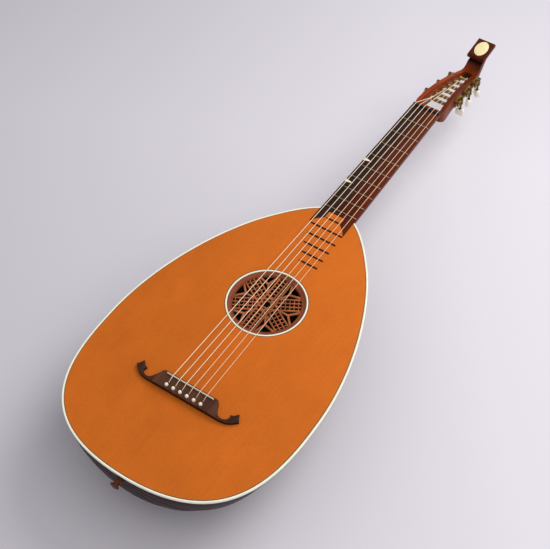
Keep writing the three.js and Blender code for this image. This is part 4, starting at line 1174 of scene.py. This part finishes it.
class MakeHead(bpy.types.Operator):
    """The sickle-shaped pegbox, the tablet at its end and the bare oval in the tablet."""

    bl_idname = "lute.head"
    bl_label = "Head"

    # Front and back heights along the pegbox, as shares of its length and of its drop
    FRONT = ((0, -0.043), (0.047, -0.045), (0.131, -0.05), (0.209, -0.082), (0.288, -0.129),
             (0.366, -0.193), (0.445, -0.271), (0.524, -0.368), (0.602, -0.479), (0.707, -0.625),
             (0.759, -0.7), (0.791, -0.723), (0.817, -0.707), (0.843, -0.636), (0.864, -0.536))
    BACK = ((0, -0.346), (0.047, -0.482), (0.099, -0.554), (0.209, -0.561), (0.288, -0.586),
            (0.445, -0.693), (0.602, -0.836), (0.707, -0.946), (0.77, -1), (0.822, -1),
            (0.864, -0.946), (0.906, -0.804), (0.948, -0.634), (1, -0.475))
    THROAT = ((0.733, 0), (0.8, 0.5), (0.874, 1), (1, 1))
    SLOT_THROUGH_END = (7.97, 145.0)
    # The slot's blind end and the black sheet of painted shade on its floor: half widths and places
    # along them
    BLIND_END = ((7.6, 148.0), (6.4, 150.6), (4.2, 152.0))
    BLIND_SHADE = ((6.9, 148.0), (5.8, 150.2), (3.9, 151.5))
    STATION_COUNT = 84
    # The pegbox's half width: it swells from its foot, tapers, and narrows again at the throat
    FOOT_HALF = 22.2
    SWELL = 2.5
    SWELL_END = 20.0
    TAPER = 9.1
    TAPER_END = 145.0
    THROAT_NARROWING = 3.4
    # The oval's middle along the tablet, and its width as a share of its length
    OVAL_MIDDLE = 20.5
    OVAL_NARROWING = 10.5 / 16.4

    def execute(self, context):
        front, back = (self.heights(shares) for shares in (self.FRONT, self.BACK))
        rings = []
        for step in range(self.STATION_COUNT + 1):
            y = PEGBOX_START + (PEGBOX_END - PEGBOX_START) * step / self.STATION_COUNT
            high = tablet_back(y) if y >= TABLET_FOOT else value_at(front, y)
            section = rounded_section(self.half_width(y), value_at(back, y), high, 2.6, 0.9)
            rings.append([(x, y, z) for x, z in section])
        piece = lofted("pegbox_body", rings)
        half, end_y = self.SLOT_THROUGH_END
        combine(piece, slab("slot", [whole([(SLOT_START_HALF, SLOT_START_Y), (half, end_y)])],
                            -90.0, 20.0))
        combine(piece, slab("slot_end", [whole([(half, end_y - 2.0), *self.BLIND_END])], -50.0, 20.0))
        combine(piece, join([self.bore(number) for number in range(1, STRING_COUNT + 1)]))
        mend(piece, flat=0.05)
        round_edges(piece, 0.35, angle=62.0)
        finished(to_place(piece), "head", ["pegbox"], angle=35.0)
        dressed_copy("head_tablet", "tablet", "tablet", 0.35)
        # A black sheet of painted shade on the floor of the slot's blind end.
        floor = slab("slot_shade_sheet", [whole([(half - 0.6, end_y + 0.4), *self.BLIND_SHADE])],
                     -50.0, -45.0)
        finished(to_place(floor), "black")
        self.make_oval()
        return {"FINISHED"}

    def heights(self, shares):
        return smooth_line([(PEGBOX_START + along * (PEGBOX_END - PEGBOX_START), up * PEGBOX_DROP)
                            for along, up in shares], 8)

    def half_width(self, y):
        if y < self.SWELL_END:
            rise = (y - PEGBOX_START) / (self.SWELL_END - PEGBOX_START)
            return self.FOOT_HALF + self.SWELL * math.sin(rise * math.pi / 2)
        widest = self.FOOT_HALF + self.SWELL
        if y <= self.TAPER_END:
            return widest - self.TAPER * (y - self.SWELL_END) / (self.TAPER_END - self.SWELL_END)
        share = (y - PEGBOX_START) / (PEGBOX_END - PEGBOX_START)
        return widest - self.TAPER - self.THROAT_NARROWING * value_at(self.THROAT, share)

    def bore(self, number):
        """The hole for a roller: right through one cheek, and a seat in the other."""
        side, matrix = tuner_place(number)
        low, high = roller_ends(number)
        tool = peg(0.0, 0.0, low - GAP, 32.0, ROLLER_RADIUS + 0.35, 32)
        set_down(tool, matrix @ lying(side))
        return tool

    def make_oval(self):
        profile = [(0.0, -1.2), (16.3, -1.2), (16.35, 0.0), (16.2, 0.25), (15.7, 0.36), (15.0, 0.34),
                   (14.7, 0.16), (14.4, 0.16), (14.1, 0.38), (12.0, 0.62), (8.0, 0.82), (4.0, 0.9),
                   (0.0, 0.92)]
        oval = turned_piece("tablet_oval", profile, steps=72)
        middle = shift(0.0, TABLET_START_Y + self.OVAL_MIDDLE * math.cos(TABLET_TILT),
                       TABLET_START_Z + self.OVAL_MIDDLE * math.sin(TABLET_TILT))
        narrow = Matrix.Diagonal((self.OVAL_NARROWING, 1.0, 1.0, 1.0))
        to_place(oval, middle @ Matrix.Rotation(TABLET_TILT, 4, "X") @ narrow)
        finished(oval, "oval", ["medallion"], angle=50.0)


def tablet_back(y):
    """The height of the tablet's back, where the pegbox carries it."""
    return (TABLET_START_Z + (y - TABLET_START_Y) * math.tan(TABLET_TILT)
            - TABLET_THICKNESS / math.cos(TABLET_TILT) - GAP)


# Tuners: each has a place whose X lies along the roller and whose Z is out of the front

def tuner_place(number):
    axis = joint_place(f"roller_spin_{number}")
    place = shift(0.0, axis.y, axis.z) @ Matrix.Rotation(TUNER_TILT, 4, "X")
    return -1 if number % 2 else 1, place


def worm_distance(number):
    return abs(joint_place(f"worm_turn_{number}").x)


def lying(side):
    """Turns what stands along Z to lie along X, outwards on one side."""
    return Matrix.Rotation(side * math.pi / 2, 4, "Y")


def roller_ends(number):
    """The far end of a roller and the near face of its gear, outwards from the middle."""
    along = joint_place(f"roller_spin_{number}").y - SLOT_START_Y
    seat = 2.6
    far = SLOT_START_HALF - along * SLOT_NARROWING / SLOT_LENGTH + seat
    return -far, worm_distance(number) - 1.3


class MakeTuners(bpy.types.Operator):
    """Six tuners: plate and screws, roller with its gear, and worm shaft with its pale button."""

    bl_idname = "lute.tuners"
    bl_label = "Tuners"

    TEETH = 14
    TIP_RADIUS = 5.9
    ROOT_RADIUS = 4.6
    GEAR_THICKNESS = 2.6
    MESH_DISTANCE = 8.3
    THREAD_PITCH = 2 * math.pi * 5.5 / 14
    THREAD_TURNS = 2.4
    THREAD_SECTION = ((1.8, -0.5), (3.2, -0.17), (3.2, 0.17), (1.8, 0.5))
    # The plate's face inwards of the worm, and its two screws behind the roller's middle
    PLATE_INSET = 3.5
    SCREW_Y = -4.7
    SCREW_ZS = (5.3, -5.3)
    # The button: its middle, half its thickness and width, and its reach outwards and inwards
    BUTTON_DISTANCE = 22.6
    BUTTON_HALVES = (3.9, 7.6)
    BUTTON_REACHES = (6.8, 6.4)
    BUTTON_TURNS = (0.1, 0.25, 0.2, 0.02, 0.05, 0.14)
    # Radii and heights along the worm's shaft
    SHAFT_PROFILE = ((0.0, -21.0), (1.3, -21.0), (1.4, -15.6), (1.5, -7.2), (1.5, -4.7),
                     (2.1, -4.7), (2.1, 4.7), (1.5, 4.7), (1.5, 7.4), (1.3, 7.9), (0.0, 8.0))
    FERRULE_PROFILE = ((1.45, -17.2), (2.7, -17.2), (2.8, -16.8), (2.5, -16.2), (2.1, -15.8),
                       (1.9, -15.2), (1.45, -15.0))

    def execute(self, context):
        for number in range(1, STRING_COUNT + 1):
            self.make_plate(number)
            self.make_roller(number)
            self.make_worm(number)
        return {"FINISHED"}

    def make_plate(self, number):
        dressed_copy(f"tuner_plate_{number}", f"plate_{number}", "brass", 0.0)
        side, place = tuner_place(number)
        outer = worm_distance(number) - self.PLATE_INSET
        screws = []
        for out in self.SCREW_ZS:
            screw = turned_piece("screw", [(0.0, -0.2), (1.5, -0.2), (1.45, 0.2), (1.1, 0.55),
                                           (0.5, 0.72), (0.0, 0.75)], steps=20)
            combine(screw, block("cut", (-2.0, -0.2, 0.4), (2.0, 0.2, 2.0)))
            set_down(screw, shift(side * outer, self.SCREW_Y, out) @ lying(side))
            screws.append(screw)
        piece = named(join(screws), f"plate_screws_{number}")
        finished(to_place(piece, place), "steel")

    def gear_outline(self):
        places = []
        for tooth in range(self.TEETH):
            middle = (tooth + 0.5) * 2 * math.pi / self.TEETH
            for radius, half in ((self.ROOT_RADIUS, -0.75), (5.3, -0.6), (self.TIP_RADIUS, -0.34),
                                 (self.TIP_RADIUS, 0.34), (5.3, 0.6), (self.ROOT_RADIUS, 0.75)):
                angle = middle + half / radius
                places.append((radius * math.cos(angle), radius * math.sin(angle)))
        return places

    def make_roller(self, number):
        side, place = tuner_place(number)
        low, high = roller_ends(number)
        top = high + self.GEAR_THICKNESS
        matrix = place @ lying(side)
        body = f"roller_{number}"
        drum = turned_piece(f"roller_drum_{number}", [
            (0.0, low), (2.6, low), (3.0, low + 0.4), (3.0, low + 3.0), (2.9, low + 3.2),
            (2.9, high - 7.0), (3.0, high - 6.8), (3.0, high), (2.0, high + 0.2), (0.0, high + 0.2)])
        finished(to_place(drum, matrix), "brass", [body], body, angle=50.0)
        gear = slab(f"gear_{number}", [self.gear_outline()], high, top)
        round_edges(gear, 0.22)
        finished(to_place(gear, matrix), "brass", (), body)
        screw = turned_piece(f"gear_screw_{number}", [
            (0.0, top - 0.3), (2.2, top - 0.3), (2.2, top + 0.3), (1.9, top + 0.7), (1.0, top + 0.95),
            (0.0, top + 1.0)], 24)
        combine(screw, block("cut", (-3.0, -0.3, top + 0.45), (3.0, 0.3, top + 3.0)))
        finished(to_place(screw, matrix), "steel", (), body, angle=50.0)

    def make_worm(self, number):
        side, place = tuner_place(number)
        matrix = place @ shift(side * worm_distance(number), self.MESH_DISTANCE, 0.0)
        body = f"worm_{number}"
        shaft = turned_piece(f"worm_shaft_{number}", self.SHAFT_PROFILE, 28)
        finished(to_place(shaft, matrix), "steel", [body], body, angle=50.0)
        finished(to_place(self.thread(number), matrix), "brass", (), body)
        ferrule = turned_piece(f"ferrule_{number}", self.FERRULE_PROFILE, 28, closed=True)
        finished(to_place(ferrule, matrix), "steel", (), body, angle=50.0)
        thin, wide = self.BUTTON_HALVES
        outwards, inwards = self.BUTTON_REACHES
        button = block(f"button_{number}", (-thin, -wide, -self.BUTTON_DISTANCE - outwards),
                       (thin, wide, -self.BUTTON_DISTANCE + inwards))
        round_edges(button, 3.3, 6)
        for vertex in button.data.vertices:
            height = (vertex.co.z / MM + self.BUTTON_DISTANCE) / inwards
            vertex.co.y *= 0.95 - 0.05 * height
            vertex.co.x *= 0.96 - 0.04 * height
        turn = Matrix.Rotation(self.BUTTON_TURNS[number - 1] * 2 * math.pi, 4, "Z")
        finished(to_place(button, matrix @ turn), "button", (), body, angle=60.0)

    def thread(self, number):
        """The worm's ridge, wound round its shaft as a right-hand screw."""
        rings = []
        per_turn = 24
        for step in range(round(self.THREAD_TURNS * per_turn) + 1):
            turns = step / per_turn - self.THREAD_TURNS / 2
            angle = turns * 2 * math.pi - math.pi / 2
            rings.append([(radius * math.cos(angle), radius * math.sin(angle),
                           turns * self.THREAD_PITCH + rise) for radius, rise in self.THREAD_SECTION])
        return lofted(f"worm_thread_{number}", rings)


class MakeEndButton(bpy.types.Operator):
    """The turned strap button at the tail."""

    bl_idname = "lute.end_button"
    bl_label = "End button"

    PROFILE = ((0.0, -13.0), (3.0, -13.0), (5.3, -12.8), (6.2, -12.3), (6.4, -11.5), (6.2, -10.7),
               (5.4, -10.2), (4.4, -9.7), (3.8, -8.6), (3.5, -7.0), (3.4, -5.6), (3.7, -4.4),
               (3.4, -4.2), (3.9, -3.6), (4.6, -2.8), (5.0, -2.2), (5.0, -0.9), (4.7, -0.35),
               (2.4, -0.3), (2.4, 18.0), (0.0, 18.2))

    def execute(self, context):
        tail = millimetres(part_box("end_clasp")[0]).y
        piece = turned_piece("strap_button", self.PROFILE, steps=40)
        to_place(piece, shift(0.0, tail, -10.5) @ Matrix.Rotation(-math.pi / 2, 4, "X"))
        finished(piece, "turned", ["end_button"], angle=50.0)
        return {"FINISHED"}


# Strings: the CAD's own route
ROLLER_OF_STRING = (1, 3, 5, 6, 4, 2)
WINDING_STARTS = (-11.2, -7.6, -3.1, 3.1, 7.0, 10.6)
WINDING_GAP = 0.5
STRING_SLACK = 0.04
WINDING_LOOPS = 2


class MakeStrings(bpy.types.Operator):
    """Six strings, each whole from the bridge over the saddle and nut to the turns on its roller."""

    bl_idname = "lute.strings"
    bl_label = "Strings"

    def execute(self, context):
        for index, radius in enumerate(STRING_RADII):
            name = f"string_run_{index + 1}"
            piece = drawn_curve(name, [self.route(index)], closed=False)
            piece.data.dimensions = "3D"
            piece.data.bevel_depth = (radius - STRING_SLACK) * MM
            piece.data.bevel_resolution = 3
            piece.data.use_fill_caps = True
            piece = named(as_mesh(), name)
            finish = "string" if index < 3 else "treble"
            finished(to_place(piece), finish, [f"string_{index + 1}"], angle=60.0)
        return {"FINISHED"}

    def route(self, index):
        radius = STRING_RADII[index]
        saddle_x = SADDLE_XS[index]
        nut_x = NUT_XS[index]
        lift = GAP + radius
        rise_y = PIN_Y + 4.4 + lift
        saddle_z = millimetres(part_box("saddle")[1]).z + lift
        nut = [millimetres(corner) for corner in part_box("nut")]
        return [
            (saddle_x, rise_y, GAP + lift),
            (saddle_x, rise_y, BRIDGE_HEIGHT - lift),
            (saddle_x, rise_y + lift * 0.4, BRIDGE_HEIGHT + lift * 0.4),
            (saddle_x, SADDLE_Y - 1.2, saddle_z),
            (saddle_x, SADDLE_Y + 1.2, saddle_z),
            (nut_x, nut[0].y, nut[1].z + lift),
            (nut_x, nut[1].y, nut[1].z + lift),
            *self.winding(index, nut[1].y, nut[1].z + lift),
        ]

    def winding(self, index, from_y, from_z):
        """Turns on the roller, from where the string touches them as a tangent."""
        radius = STRING_RADII[index]
        axis = joint_place(f"roller_spin_{ROLLER_OF_STRING[index]}")
        coil = ROLLER_RADIUS + GAP + radius
        along_y = axis.y - from_y
        along_z = axis.z - from_z
        arrival = math.atan2(along_z, along_y) + math.asin(coil / math.hypot(along_y, along_z))
        start_x = WINDING_STARTS[index]
        pitch = math.copysign(2 * radius + WINDING_GAP, start_x)
        per_loop = sizes().string_steps
        points = []
        for step in range(WINDING_LOOPS * per_loop + 1):
            loops = step / per_loop
            angle = loops * 2 * math.pi - arrival
            points.append((start_x + pitch * loops, axis.y + coil * math.sin(angle),
                           axis.z + coil * math.cos(angle)))
        return points


class LutePanel(bpy.types.Panel):
    """Buttons for the stage and each group of pieces."""

    bl_idname = "LUTE_PT_pieces"
    bl_label = "Lute guitar"
    bl_space_type = "VIEW_3D"
    bl_region_type = "UI"
    bl_category = "Lute guitar"

    def draw(self, context):
        for operator in OPERATORS:
            self.layout.operator(operator.bl_idname)
        for group in (context.scene.lute_sizes, context.scene.lute_colours):
            for name in group.__annotations__:
                self.layout.prop(group, name)


OPERATORS = (
    MakeStage, MakeSoundboard, MakeBowl, MakeRose, MakeBridge, MakeNeck, MakeHead, MakeTuners,
    MakeStrings, MakeEndButton,
)
CLASSES = (LuteSizes, LuteColours, *OPERATORS, LutePanel)


def register():
    for item in CLASSES:
        bpy.utils.register_class(item)
    bpy.types.Scene.lute_sizes = PointerProperty(type=LuteSizes)
    bpy.types.Scene.lute_colours = PointerProperty(type=LuteColours)


def unregister():
    del bpy.types.Scene.lute_colours
    del bpy.types.Scene.lute_sizes
    for item in reversed(CLASSES):
        bpy.utils.unregister_class(item)


def main():
    register()
    bpy.ops.lute.stage()
    bpy.ops.lute.soundboard()
    bpy.ops.lute.bowl()
    bpy.ops.lute.rose()
    bpy.ops.lute.bridge()
    bpy.ops.lute.neck()
    bpy.ops.lute.head()
    bpy.ops.lute.tuners()
    bpy.ops.lute.strings()
    bpy.ops.lute.end_button()


if __name__ == "__main__":
    main()
